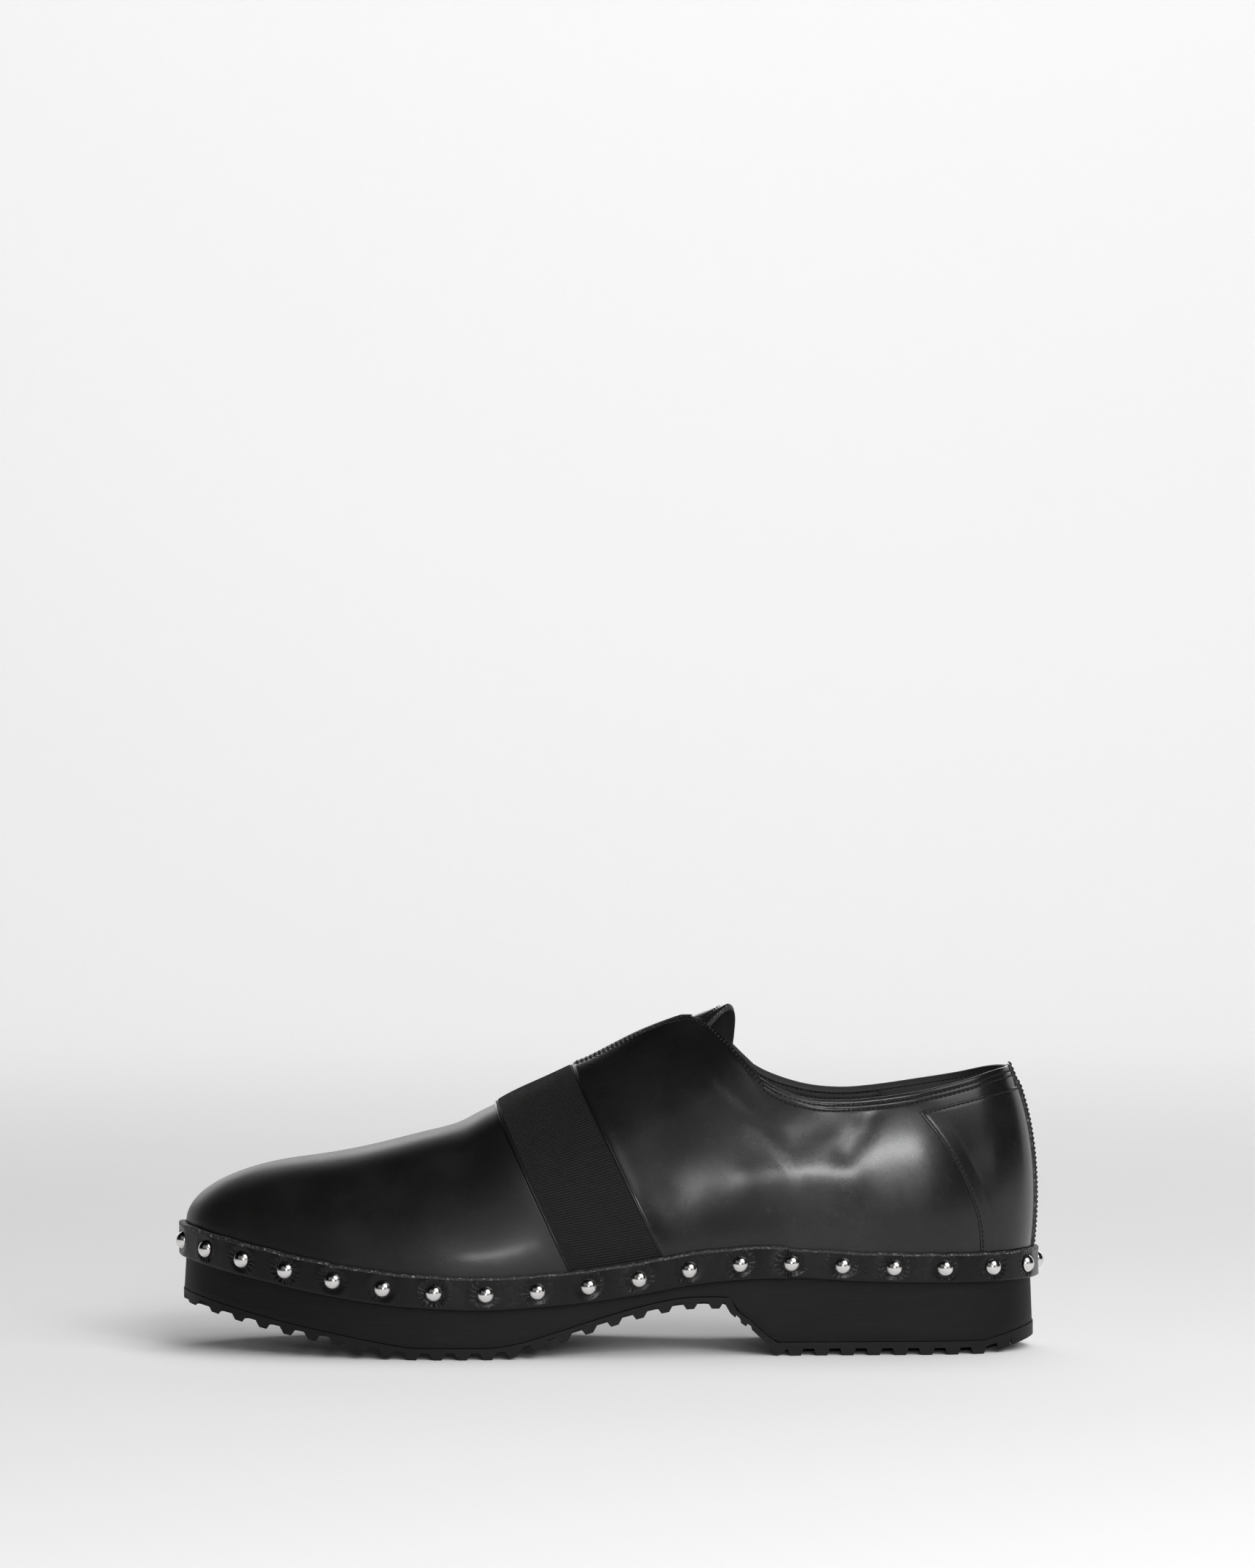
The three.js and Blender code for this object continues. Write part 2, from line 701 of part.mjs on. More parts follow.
// Outline parameter at a length round the rand from the back of the heel
function randParameter(length) {
  const i = Math.max(1, randLengths.findIndex((value) => value >= length));
  const part = (length - randLengths[i - 1]) / (randLengths[i] - randLengths[i - 1]);
  return (i - 1 + part) / (randLengths.length - 1);
}

// An odd number of studs, so that one is at the back of the heel and none at the tip of the toe
const studCount = 2 * Math.round(randLength / studSpacing / 2 - 0.5) + 1;
const studStep = randLength / studCount;
const jointLength = studsBehindJoint * studStep + jointOffset;

// Piece of the rand between two outline parameters, taller by a distance above and below
function randSolid(from, to, taller) {
  const between = stationLoop.map((t) => (t < from ? t + 1 : t)).filter((t) => t > from && t < to);
  const params = [from, ...between.sort((a, b) => a - b), to];
  const low = -randHeight / 2 - taller / 2;
  const high = randHeight / 2 + taller;
  const section = [
    [gap, low],
    [gap, high],
    [gap + randThickness - randEdgeRound, high],
    [gap + randThickness, high - randEdgeRound],
    [gap + randThickness, low + randEdgeRound],
    [gap + randThickness - randEdgeRound, low],
  ];
  const rings = params.map((t) => section.map(([outward, rise]) =>
    outlinePoint(t, outward, (x) => footHeight(x) + rise)));
  const triangles = [];
  const sides = section.length;
  for (let r = 0; r + 1 < rings.length; r += 1) {
    for (let k = 0; k < sides; k += 1) {
      const n = (k + 1) % sides;
      triangles.push([rings[r][k], rings[r + 1][k], rings[r + 1][n]], [rings[r][k], rings[r + 1][n], rings[r][n]]);
    }
  }
  const first = rings[0];
  const end = rings[rings.length - 1];
  for (let k = 1; k + 1 < sides; k += 1) {
    triangles.push([first[0], first[k], first[k + 1]], [end[0], end[k + 1], end[k]]);
  }
  return toSolid(geometryOf(triangles));
}

// Domed stud with a flat back, its axis along +Y before it is turned
function studGeometry() {
  const radius = studDiameter / 2;
  const rim = studHeight * 0.2;
  const profile = [
    new THREE.Vector2(0, 0),
    new THREE.Vector2(radius * 0.97, 0),
    new THREE.Vector2(radius, rim),
    new THREE.Vector2(radius * 0.66, rim + (studHeight - rim) * 0.72),
    new THREE.Vector2(0, studHeight),
  ];
  return new THREE.LatheGeometry(profile, 8);
}

// Materials
const material = (color, roughness, metalness) => new THREE.MeshStandardMaterial({ color, roughness, metalness });
const leather = () => material(0x161515, 0.38, 0);
const lining = () => material(0x1b1a1a, 0.6, 0);
const elastic = () => material(0x111111, 0.85, 0);
const rubber = () => material(0x0e0e0e, 0.8, 0);
const chrome = () => material(0xd8d8da, 0.12, 1);

const shoe = new THREE.Group();

function add(name, geometry, finish) {
  const mesh = new THREE.Mesh(geometry, finish);
  mesh.name = name;
  shoe.add(mesh);
  return mesh;
}

const blank = soleBlank();
add('outsole', toGeometry(outsoleSolid(blank)), rubber());
add('midsole', toGeometry(midsoleSolid(blank)), rubber());
add('insole', toGeometry(insoleSolid()), lining());
add('upper', toGeometry(upperSolid()), leather());
add('elastic_gore', toGeometry(goreSolid()), elastic());
add('tongue', toGeometry(tongueSolid()), leather());
add('heel_counter', toGeometry(counterSolid()), leather());
add('back_strip', toGeometry(backStripSolid()), leather());

// Rand in two pieces that meet under a stud on each side
function addRand() {
  const lateral = randParameter(jointLength);
  const medial = randParameter(randLength - jointLength);
  const slack = gap / 2 / randLength;
  add('rand_front', toGeometry(randSolid(lateral + slack, medial - slack, randStep)), leather());
  add('rand_heel', toGeometry(randSolid(medial + slack, lateral + 1 - slack, 0)), leather());
}
addRand();

// Studs at even lengths round the rand, each square to it
function addStuds() {
  for (let i = 0; i < studCount; i += 1) {
    const t = randParameter(i * studStep);
    const seat = outlinePoint(t, randOffset + gap, footHeight);
    const inside = outlinePoint(t, 0, footHeight);
    const facing = new THREE.Vector3().subVectors(seat, inside).normalize();
    const stud = add(`stud_${String(i + 1).padStart(2, '0')}`, studGeometry(), chrome());
    stud.position.copy(seat);
    stud.quaternion.setFromUnitVectors(new THREE.Vector3(0, 1, 0), facing);
  }
}
addStuds();

// The origin is under the middle of the shoe
shoe.updateMatrixWorld(true);
const extent = new THREE.Box3().setFromObject(shoe, true);
const centre = extent.getCenter(new THREE.Vector3());
shoe.position.set(-centre.x, -centre.y, -extent.min.z);
shoe.updateMatrixWorld(true);

export default shoe;
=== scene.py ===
"""Looks of a laceless derby shoe: fine leather, elastic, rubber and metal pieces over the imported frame.

Sizes are in millimetres, as the maker measures them: x runs from the heel tip of the upper to its toe, y to the
outside of the foot and z up from the floor. Meshes are written in metres, in the frame's own place.
"""

import logging
import math
from dataclasses import dataclass, field
from enum import Enum, IntEnum
from functools import cached_property
from typing import Any, Callable, ClassVar, Sequence

import bmesh
import bpy
import numpy as np
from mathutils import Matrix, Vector


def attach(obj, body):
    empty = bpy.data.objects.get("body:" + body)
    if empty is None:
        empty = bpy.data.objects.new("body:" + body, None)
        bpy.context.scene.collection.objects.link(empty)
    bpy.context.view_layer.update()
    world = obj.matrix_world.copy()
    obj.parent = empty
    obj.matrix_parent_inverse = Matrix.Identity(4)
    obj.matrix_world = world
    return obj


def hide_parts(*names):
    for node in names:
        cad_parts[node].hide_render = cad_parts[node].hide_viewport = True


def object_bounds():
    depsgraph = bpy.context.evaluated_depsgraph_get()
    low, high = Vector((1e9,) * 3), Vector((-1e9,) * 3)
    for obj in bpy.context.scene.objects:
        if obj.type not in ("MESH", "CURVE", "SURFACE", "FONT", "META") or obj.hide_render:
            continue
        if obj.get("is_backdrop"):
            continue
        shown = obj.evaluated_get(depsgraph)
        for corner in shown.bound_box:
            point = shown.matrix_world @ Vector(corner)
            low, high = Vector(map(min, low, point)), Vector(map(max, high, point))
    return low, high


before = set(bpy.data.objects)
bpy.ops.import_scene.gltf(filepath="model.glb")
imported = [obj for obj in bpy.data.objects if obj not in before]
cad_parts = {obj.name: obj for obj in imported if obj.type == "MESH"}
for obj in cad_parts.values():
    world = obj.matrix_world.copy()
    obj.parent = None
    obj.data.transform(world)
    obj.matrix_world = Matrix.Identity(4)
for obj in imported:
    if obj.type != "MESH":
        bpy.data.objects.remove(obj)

logging.basicConfig(level=logging.INFO, format="%(message)s")
LOG = logging.getLogger("shoe")

MM = 0.001
ORIGIN = np.array([-147.167, -0.964, 0.0])
Rows = Sequence[Sequence[float]]
Sockets = dict[Any, Any]

# Half outline of the foot: share of the length, then outer and inner half widths as shares of half the ball
OUTLINE_ROWS: Rows = (
    (0, 0, 0), (0.0074, 0.226, 0.226), (0.0286, 0.42, 0.416), (0.064, 0.56, 0.549), (0.118, 0.638, 0.612),
    (0.202, 0.665, 0.618), (0.303, 0.705, 0.61), (0.404, 0.788, 0.657), (0.505, 0.895, 0.772),
    (0.6, 0.986, 0.907), (0.684, 1.022, 0.978), (0.761, 0.988, 0.966), (0.829, 0.903, 0.887),
    (0.886, 0.78, 0.764), (0.933, 0.618, 0.606), (0.969, 0.42, 0.412), (0.991, 0.214, 0.21), (1, 0, 0),
)
# Height of the foot of the upper, as shares of the platform height
FOOT_ROWS: Rows = (
    (0, 1.01), (0.093, 1.0), (0.195, 1.015), (0.276, 1.06), (0.337, 1.065), (0.398, 1.015), (0.46, 0.915),
    (0.52, 0.833), (0.581, 0.78), (0.643, 0.75), (0.704, 0.77), (0.764, 0.82), (0.825, 0.91), (0.887, 1.03),
    (0.948, 1.155), (1, 1.27),
)
# Crest of the last: height as shares of the instep rise, lean as shares of the ball width
CREST_ROWS: Rows = (
    (0, 1.129, 0), (0.126, 1.129, 0), (0.227, 1.124, 0), (0.311, 1.092, -0.01), (0.362, 1.055, -0.015),
    (0.409, 1.0, -0.02), (0.463, 0.925, -0.025), (0.524, 0.815, -0.03), (0.567, 0.745, -0.035),
    (0.618, 0.665, -0.04), (0.652, 0.595, -0.042), (0.679, 0.548, -0.042), (0.722, 0.508, -0.041),
    (0.773, 0.465, -0.038), (0.823, 0.432, -0.03), (0.884, 0.406, -0.018), (0.941, 0.381, -0.008), (1, 0.359, 0),
)
# Cross-sections: power and bulge of the outer side, then of the inner side
SECTION_ROWS: Rows = (
    (0, 1.08, 0.11, 1.08, 0.11), (0.1, 1.05, 0.08, 1.05, 0.08), (0.2, 1.05, 0.05, 1.05, 0.045),
    (0.4, 1.15, 0.02, 1.1, 0.02), (0.55, 1.15, 0, 1.05, 0), (0.68, 0.92, 0, 0.86, 0), (0.8, 0.8, 0, 0.76, 0),
    (1, 0.7, 0, 0.7, 0),
)
# Collar line above the platform, outer and inner side, as shares of the collar rise
COLLAR_ROWS: Rows = (
    (-0.04, 1.03, 1.03), (0.035, 1.0, 1.004), (0.082, 0.946, 0.957), (0.126, 0.9, 0.925), (0.183, 0.861, 0.889),
    (0.225, 0.847, 0.877), (0.268, 0.856, 0.9), (0.311, 0.927, 0.963), (0.334, 0.985, 1.015),
    (0.349, 1.05, 1.07), (0.364, 1.123, 1.141), (0.378, 1.198, 1.208), (0.391, 1.252, 1.258),
    (0.403, 1.289, 1.291), (0.412, 1.36, 1.36),
)
# Bottom of the sole from the waist to the toe, as shares of the platform height
TREAD_ROWS: Rows = (
    (0.358, 0.54), (0.369, 0.55), (0.41, 0.545), (0.45, 0.48), (0.49, 0.38), (0.53, 0.262), (0.567, 0.15),
    (0.601, 0.055), (0.636, 0), (0.722, 0), (0.773, 0.075), (0.82, 0.163), (0.874, 0.267), (0.928, 0.387),
    (0.978, 0.503), (1.02, 0.6),
)
# Front edge of the counter, as shares of the collar rise above the platform and of the length, from below
COUNTER_FRONT_ROWS: Rows = (
    (-0.1, 0.065), (0.088, 0.065), (0.216, 0.067), (0.342, 0.075), (0.485, 0.089), (0.654, 0.113), (0.786, 0.137),
)
# Top edge of the counter, as shares of the length and of the collar rise
COUNTER_TOP_ROWS: Rows = ((-0.03, 0.915), (0.03, 0.893), (0.092, 0.833), (0.137, 0.786))
# Outline of the tongue from above, as shares of the length and of half the ball width
TONGUE_ROWS: Rows = (
    (0.655, 0.3), (0.55, 0.36), (0.44, 0.4), (0.41, 0.34), (0.385, 0.19), (0.363, 0.02), (0.352, -0.12),
    (0.35, -0.25), (0.356, -0.37), (0.381, -0.46), (0.44, -0.49), (0.55, -0.45), (0.655, -0.42),
)


class Side(IntEnum):
    """Side of the foot."""

    OUTER = 1
    INNER = -1

    def place(self, half: np.ndarray) -> np.ndarray:
        """Place round the outline, from one counted from the heel along this side."""
        return half if self is Side.OUTER else 1 - half


class Slot(Enum):
    """Material slots of the record."""

    OUTSOLE = "outsole_rubber"
    MIDSOLE = "midsole_rubber"
    LINING = "lining_leather"
    UPPER = "upper_leather"
    RAND = "rand_leather"
    ELASTIC = "elastic"
    STUD = "stud_metal"


# Sizes and curves


def smooth_curve(rows: Rows, column: int = 1) -> Callable[[np.ndarray], np.ndarray]:
    """Smooth curve through one column of a table, straight on past its ends.

    Args:
        rows: Table whose first column rises.
        column: Column that the curve runs through.

    Returns:
        Function from first-column values to curve values.
    """
    table = np.asarray(rows, float)
    knots, values = table[:, 0], table[:, column]
    first = np.r_[0, np.arange(len(knots) - 1)]
    after = np.r_[np.arange(1, len(knots)), len(knots) - 1]
    slopes = (values[after] - values[first]) / (knots[after] - knots[first])

    def value(where: np.ndarray) -> np.ndarray:
        """Value of the curve at each place."""
        where = np.asarray(where, float)
        i = np.clip(np.searchsorted(knots, where, side="right") - 1, 0, len(knots) - 2)
        span = knots[i + 1] - knots[i]
        u = np.clip((where - knots[i]) / span, 0, 1)
        rise = (3 - 2 * u) * u * u
        bend = slopes[i] * (1 - u) ** 2 * u - slopes[i + 1] * (1 - u) * u * u
        inside = values[i] * (1 - rise) + values[i + 1] * rise + bend * span
        below = np.minimum(where - knots[0], 0) * slopes[0]
        above = np.maximum(where - knots[-1], 0) * slopes[-1]
        return inside + below + above

    return value


def bisect(value: Callable[[np.ndarray], np.ndarray], low: np.ndarray, high: np.ndarray) -> np.ndarray:
    """Finds where a falling function crosses zero.

    Args:
        value: Function that is above zero at low and below it at high.
        low: Lower ends of the search.
        high: Upper ends of the search.

    Returns:
        Crossings, one for each pair of ends.
    """
    low, high = np.array(low, float), np.array(high, float)
    for _ in range(44):
        middle = (low + high) / 2
        above = value(middle) > 0
        low, high = np.where(above, middle, low), np.where(above, high, middle)
    return (low + high) / 2


def arc_lengths(points: np.ndarray, axis: int = 0) -> np.ndarray:
    """Distance run along an axis of a grid of points, from its first row or column."""
    steps = np.linalg.norm(np.diff(points, axis=axis), axis=-1)
    start = np.zeros_like(np.take(steps, [0], axis=axis))
    return np.concatenate([start, np.cumsum(steps, axis=axis)], axis=axis)


def crossing(level: float, runs: np.ndarray, points: np.ndarray) -> np.ndarray:
    """Point of each row of a grid at a distance run along the row."""
    return np.stack([[np.interp(level, run, row[:, k]) for k in range(3)] for run, row in zip(runs, points)])


def bell(distance: np.ndarray, width: float) -> np.ndarray:
    """Soft bump of height 1 at distance 0."""
    return np.exp(-((np.asarray(distance) / width) ** 2))


def ease(value: np.ndarray, low: float, high: float) -> np.ndarray:
    """Smooth step from 0 at low to 1 at high."""
    u = np.clip((np.asarray(value) - low) / (high - low), 0, 1)
    return u * u * (3 - 2 * u)


def rounding(distance: np.ndarray, radius: float) -> np.ndarray:
    """Drop of a rounded edge at a distance from it."""
    inward = np.clip(radius - distance, 0, radius)
    return np.sqrt(radius * radius - inward * inward) - radius


@dataclass(frozen=True)
class Last:
    """Form that the upper is pulled over, with its outline, crest and cross-sections.

    A point of it has a place round the outline, from 0 at the heel through 0.5 at the toe, with the outer side
    first, and a turn up the wall, from 0 at the foot to 1 on the crest and on to 2 down the other side.
    """

    length: float = 295.8
    ball_width: float = 101.0
    instep_rise: float = 87.7
    collar_rise: float = 68.2
    platform: float = 30.0
    crest_inset: float = 45.0
    straight_rise: float = 6.0
    gap: float = 0.3

    @cached_property
    def _curves(self) -> dict[str, Callable[[np.ndarray], np.ndarray]]:
        """Smooth curves of the tables."""
        names = ("outer_power", "outer_bulge", "inner_power", "inner_bulge")
        curves = {name: smooth_curve(SECTION_ROWS, i + 1) for i, name in enumerate(names)}
        curves["foot"] = smooth_curve(FOOT_ROWS)
        curves["crest"] = smooth_curve(CREST_ROWS, 1)
        curves["lean"] = smooth_curve(CREST_ROWS, 2)
        curves["outer_collar"] = smooth_curve(COLLAR_ROWS, 1)
        curves["inner_collar"] = smooth_curve(COLLAR_ROWS, 2)
        curves["tread"] = smooth_curve(TREAD_ROWS)
        return curves

    @cached_property
    def _knots(self) -> np.ndarray:
        """Points that the closed outline passes through."""
        table = np.asarray(OUTLINE_ROWS, float)
        half = self.ball_width / 2
        outer = np.c_[table[:, 0] * self.length, table[:, 1] * half]
        inner = np.c_[table[:, 0] * self.length, -table[:, 2] * half][1:-1][::-1]
        return np.r_[outer, inner]

    def outline(self, place: np.ndarray) -> np.ndarray:
        """Point of the outline in plan at each place round it."""
        return self._outline(place)[0]

    def _outline(self, place: np.ndarray) -> tuple[np.ndarray, np.ndarray]:
        """Point and direction of the outline.

        Args:
            place: Places round the outline.

        Returns:
            Points and derivatives in plan.
        """
        knots = self._knots
        count = len(knots)
        run = (np.asarray(place, float) % 1.0) * count
        i = np.floor(run).astype(int) % count
        u = (run - np.floor(run))[..., None]
        before, start, end, after = (knots[(i + k) % count] for k in (-1, 0, 1, 2))
        leave, arrive = (end - before) / 2, (after - start) / 2
        square = -3 * start + 3 * end - 2 * leave - arrive
        cube = 2 * start - 2 * end + leave + arrive
        return start + u * (leave + u * (square + u * cube)), leave + u * (2 * square + u * 3 * cube)

    def foot(self, x: np.ndarray) -> np.ndarray:
        """Height of the foot of the upper."""
        return self.platform * self._curves["foot"](np.asarray(x) / self.length)

    def crest(self, x: np.ndarray) -> np.ndarray:
        """Height of the crest."""
        return self.platform + self.instep_rise * self._curves["crest"](np.asarray(x) / self.length)

    def lean(self, x: np.ndarray) -> np.ndarray:
        """Sideways place of the crest."""
        return self.ball_width * self._curves["lean"](np.asarray(x) / self.length)

    def tread(self, x: np.ndarray) -> np.ndarray:
        """Height of the bottom of the forefoot."""
        return np.maximum(0, self.platform * self._curves["tread"](np.asarray(x) / self.length))

    def collar(self, x: np.ndarray, y: np.ndarray) -> np.ndarray:
        """Height of the collar line, which is higher on the inner side."""
        outer = self._curves["outer_collar"](np.asarray(x) / self.length)
        inner = self._curves["inner_collar"](np.asarray(x) / self.length)
        tilt = (outer - inner) * 1.5 * np.asarray(y) / self.ball_width
        return self.platform + self.collar_rise * ((outer + inner) / 2 + tilt)

    def rim(self, place: np.ndarray, outward: np.ndarray, rise: np.ndarray) -> np.ndarray:
        """Points beside the outline.

        Args:
            place: Places round the outline.
            outward: Distance outward in plan.
            rise: Height above the foot of the upper.

        Returns:
            Points in millimetres.
        """
        at, way = self._outline(place)
        away = np.stack([-way[..., 1], way[..., 0]], -1)
        away = away / np.linalg.norm(away, axis=-1, keepdims=True)
        moved = at + away * np.asarray(outward)[..., None]
        height = self.foot(at[..., 0]) + rise
        return np.concatenate([moved, np.broadcast_to(height, moved.shape[:-1])[..., None]], -1)

    def reach(self, share: np.ndarray, outer: np.ndarray, turn: np.ndarray) -> np.ndarray:
        """Share of the way from the crest out to the foot at a turn."""
        power = np.where(outer, self._curves["outer_power"](share), self._curves["inner_power"](share))
        bulge = np.where(outer, self._curves["outer_bulge"](share), self._curves["inner_bulge"](share))
        angle = np.asarray(turn) * math.pi / 2
        cosine = np.maximum(np.cos(angle), 0)
        inside = np.power(cosine, power) + bulge * 2 * np.sin(angle) * cosine
        return np.where(angle > 0, inside, 1.0)

    def point(self, place: np.ndarray, turn: np.ndarray) -> np.ndarray:
        """Points of the last.

        Args:
            place: Places round the outline.
            turn: Turns up the wall.

        Returns:
            Points in millimetres.
        """
        place, turn = np.broadcast_arrays(np.asarray(place, float) % 1.0, np.asarray(turn, float))
        place, turn = np.where(turn > 1, (1 - place) % 1.0, place), np.where(turn > 1, 2 - turn, turn)
        at = self.outline(place)
        share = at[..., 0] / self.length
        ridge = self.crest_inset + share * (self.length - 2 * self.crest_inset)
        reach = self.reach(share, place <= 0.5, turn)
        x = ridge + (at[..., 0] - ridge) * reach
        y = self.lean(ridge) + (at[..., 1] - self.lean(ridge)) * reach
        base = self.foot(at[..., 0]) + self.straight_rise
        z = base + (self.crest(x) - base) * np.sin(turn * math.pi / 2)
        return np.stack([x, y, z], -1)

    def normal(self, place: np.ndarray, turn: np.ndarray) -> np.ndarray:
        """Outward direction of the last at each point."""
        place, turn = np.broadcast_arrays(np.asarray(place, float), np.asarray(turn, float))
        along = self.point(place + 0.0015, turn) - self.point(place - 0.0015, turn)
        up = self.point(place, turn + 0.012) - self.point(place, turn - 0.012)
        way = np.cross(up, along)
        size = np.linalg.norm(way, axis=-1, keepdims=True)
        return np.where(size > 1e-9, way / np.maximum(size, 1e-9), np.array([0.1, 0.0, 0.995]))

    def at(self, place: np.ndarray, turn: np.ndarray, offset: np.ndarray) -> np.ndarray:
        """Points at a distance outside the last."""
        return self.point(place, turn) + self.normal(place, turn) * np.asarray(offset)[..., None]

    def bottom_turn(self, place: np.ndarray, rise: float) -> np.ndarray:
        """Turn at which the wall is a height above the foot of the upper, within its straight part."""
        x = self.outline(place)[..., 0]
        base = self.foot(x) + self.straight_rise
        return np.arcsin((rise - self.straight_rise) / (self.crest(x) - base)) * 2 / math.pi

    def from_plan(self, x: np.ndarray, y: np.ndarray, offset: float) -> tuple[np.ndarray, np.ndarray]:
        """Finds the points of an offset last under places in plan.

        Args:
            x: Distances from the heel.
            y: Distances to the side.
            offset: Distance of the sheet from the last.

        Returns:
            Places round the outline and turns up the wall.
        """
        goal_x, goal_y = np.array(x, float), np.array(y, float)
        aim_x, aim_y = goal_x.copy(), goal_y.copy()
        place = turn = np.zeros_like(goal_x)
        for _ in range(4):
            outer = aim_y >= self.lean(aim_x)

            def missing(half: np.ndarray) -> np.ndarray:
                """Distance still to go toward the toe."""
                at = self.outline(np.where(outer, half, 1 - half))
                ridge = self.crest_inset + at[..., 0] / self.length * (self.length - 2 * self.crest_inset)
                span = at[..., 1] - self.lean(ridge)
                share = np.clip((aim_y - self.lean(ridge)) / np.where(np.abs(span) < 1e-6, 1e-6, span), 0, 1)
                return aim_x - (ridge + (at[..., 0] - ridge) * share)

            half = bisect(missing, np.full_like(aim_x, 0.02), np.full_like(aim_x, 0.48))
            place = np.where(outer, half, 1 - half)
            at = self.outline(place)
            ridge = self.crest_inset + at[..., 0] / self.length * (self.length - 2 * self.crest_inset)
            want = np.clip((aim_y - self.lean(ridge)) / (at[..., 1] - self.lean(ridge)), 0, 1)
            share = at[..., 0] / self.length
            turn = bisect(lambda t: self.reach(share, outer, t) - want, np.zeros_like(want), np.ones_like(want))
            off = self.at(place, turn, np.full_like(aim_x, offset))
            aim_x, aim_y = aim_x + (goal_x - off[..., 0]), aim_y + (goal_y - off[..., 1])
        return place, turn


# Meshes


class Draft:
    """Points and faces of a piece while it is being drawn, in millimetres."""

    def __init__(self) -> None:
        """Starts an empty draft."""
        self.points: list[np.ndarray] = []
        self.faces: list[tuple[int, ...]] = []
        self.slots: list[int] = []
        self.shares: list[np.ndarray] = []
        self.count = 0

    def add(self, points: np.ndarray, plan: np.ndarray | None = None) -> np.ndarray:
        """Adds points.

        Args:
            points: Grid of points.
            plan: Flat coordinates of each point, for patterns that follow the surface.

        Returns:
            Indices of the points, in the same grid.
        """
        flat = points.reshape(-1, 3)
        index = np.arange(self.count, self.count + len(flat)).reshape(points.shape[:-1])
        self.points.append(flat)
        self.shares.append(np.zeros((len(flat), 2)) if plan is None else plan.reshape(-1, 2))
        self.count += len(flat)
        return index

    def quads(self, a: np.ndarray, b: np.ndarray, c: np.ndarray, d: np.ndarray, slot: int = 0) -> None:
        """Adds faces between matching lists of corners."""
        made = np.stack([np.ravel(a), np.ravel(b), np.ravel(c), np.ravel(d)], 1).tolist()
        self.faces.extend(made)
        self.slots.extend([slot] * len(made))

    def grid(self, index: np.ndarray, slot: int = 0, closed: bool = False) -> None:
        """Adds the faces of a grid, closed round its columns if asked."""
        if closed:
            index = np.concatenate([index, index[:, :1]], 1)
        self.quads(index[:-1, :-1], index[1:, :-1], index[1:, 1:], index[:-1, 1:], slot)

    def strip(self, first: np.ndarray, second: np.ndarray, slot: int = 0) -> None:
        """Joins two lines of points with faces."""
        self.quads(first[:-1], second[:-1], second[1:], first[1:], slot)

    def piece(
        self, name: str, finishes: Sequence["Finish"], sharp: float = 48.0, weld: float = 1.5e-6
    ) -> bpy.types.Object:
        """Makes the object.

        Args:
            name: Name of the piece.
            finishes: Finish of each slot.
            sharp: Edges that turn by more degrees than this stay sharp.
            weld: Points nearer than this, in metres, become one.

        Returns:
            The new object, at the origin.
        """
        mesh = bpy.data.meshes.new(name)
        points = (np.concatenate(self.points) + ORIGIN) * MM
        mesh.from_pydata(points.tolist(), [], self.faces)
        mesh.polygons.foreach_set("material_index", self.slots)
        shares = np.concatenate(self.shares)
        layer = mesh.uv_layers.new(name="Flat")
        corners = np.zeros(len(mesh.loops), int)
        mesh.loops.foreach_get("vertex_index", corners)
        layer.uv.foreach_set("vector", shares[corners].astype(np.float32).ravel())
        work = bmesh.new()
        work.from_mesh(mesh)
        bmesh.ops.remove_doubles(work, verts=work.verts, dist=weld)
        bmesh.ops.dissolve_degenerate(work, edges=work.edges, dist=1e-7)
        bmesh.ops.recalc_face_normals(work, faces=work.faces)
        work.to_mesh(mesh)
        work.free()
        mesh.shade_smooth()
        mesh.set_sharp_from_angle(angle=math.radians(sharp))
        for finish in finishes:
            mesh.materials.append(finish.material())
        made = bpy.data.objects.new(name, mesh)
        bpy.context.scene.collection.objects.link(made)
        return made


def settle(piece: bpy.types.Object, slot: Slot, *nodes: str) -> bpy.types.Object:
    """Ties a finished piece to the frame.

    Args:
        piece: The piece.
        slot: Slot of the record for the piece; not used.
        nodes: Nodes of the frame that it stands for.

    Returns:
        The piece.
    """
    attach(piece, "root")
    if nodes:
        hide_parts(*nodes)
    LOG.info("%s: %d faces", piece.name, len(piece.data.polygons))
    return piece


@dataclass
class Sheet:
    """Grid of points on the last, rows from bottom to top, that leather is laid on."""

    last: Last
    place: np.ndarray
    turn: np.ndarray

    @cached_property
    def points(self) -> np.ndarray:
        """Points of the last."""
        return self.last.point(self.place, self.turn)

    @cached_property
    def normals(self) -> np.ndarray:
        """Outward directions."""
        return self.last.normal(self.place, self.turn)

    def lifted(self, offset: np.ndarray | float) -> np.ndarray:
        """Points at a distance outside the last."""
        return self.points + self.normals * (np.zeros(self.place.shape) + offset)[..., None]

    def slab(
        self,
        draft: Draft,
        outside: np.ndarray | float,
        inside: np.ndarray | float,
        slots: tuple[int, int, int],
        open_end: bool = False,
    ) -> None:
        """Draws the sheet with a thickness.

        Args:
            draft: Draft that takes the faces.
            outside: Distance of the outer face from the last.
            inside: Distance of the inner face.
            slots: Material slots of the outer face, the inner face and the edges.
            open_end: Leaves the last column without an edge, where its two halves meet.
        """
        run = arc_lengths(self.points, 1)
        rise = arc_lengths(self.points, 0)
        plan = np.stack([run, rise], -1)
        top = draft.add(self.lifted(outside), plan)
        low = draft.add(self.lifted(inside), plan)
        draft.grid(top, slots[0])
        draft.grid(low, slots[1])
        draft.strip(top[0], low[0], slots[2])
        draft.strip(top[-1], low[-1], slots[2])
        draft.strip(top[:, 0], low[:, 0], slots[2])
        if not open_end:
            draft.strip(top[:, -1], low[:, -1], slots[2])


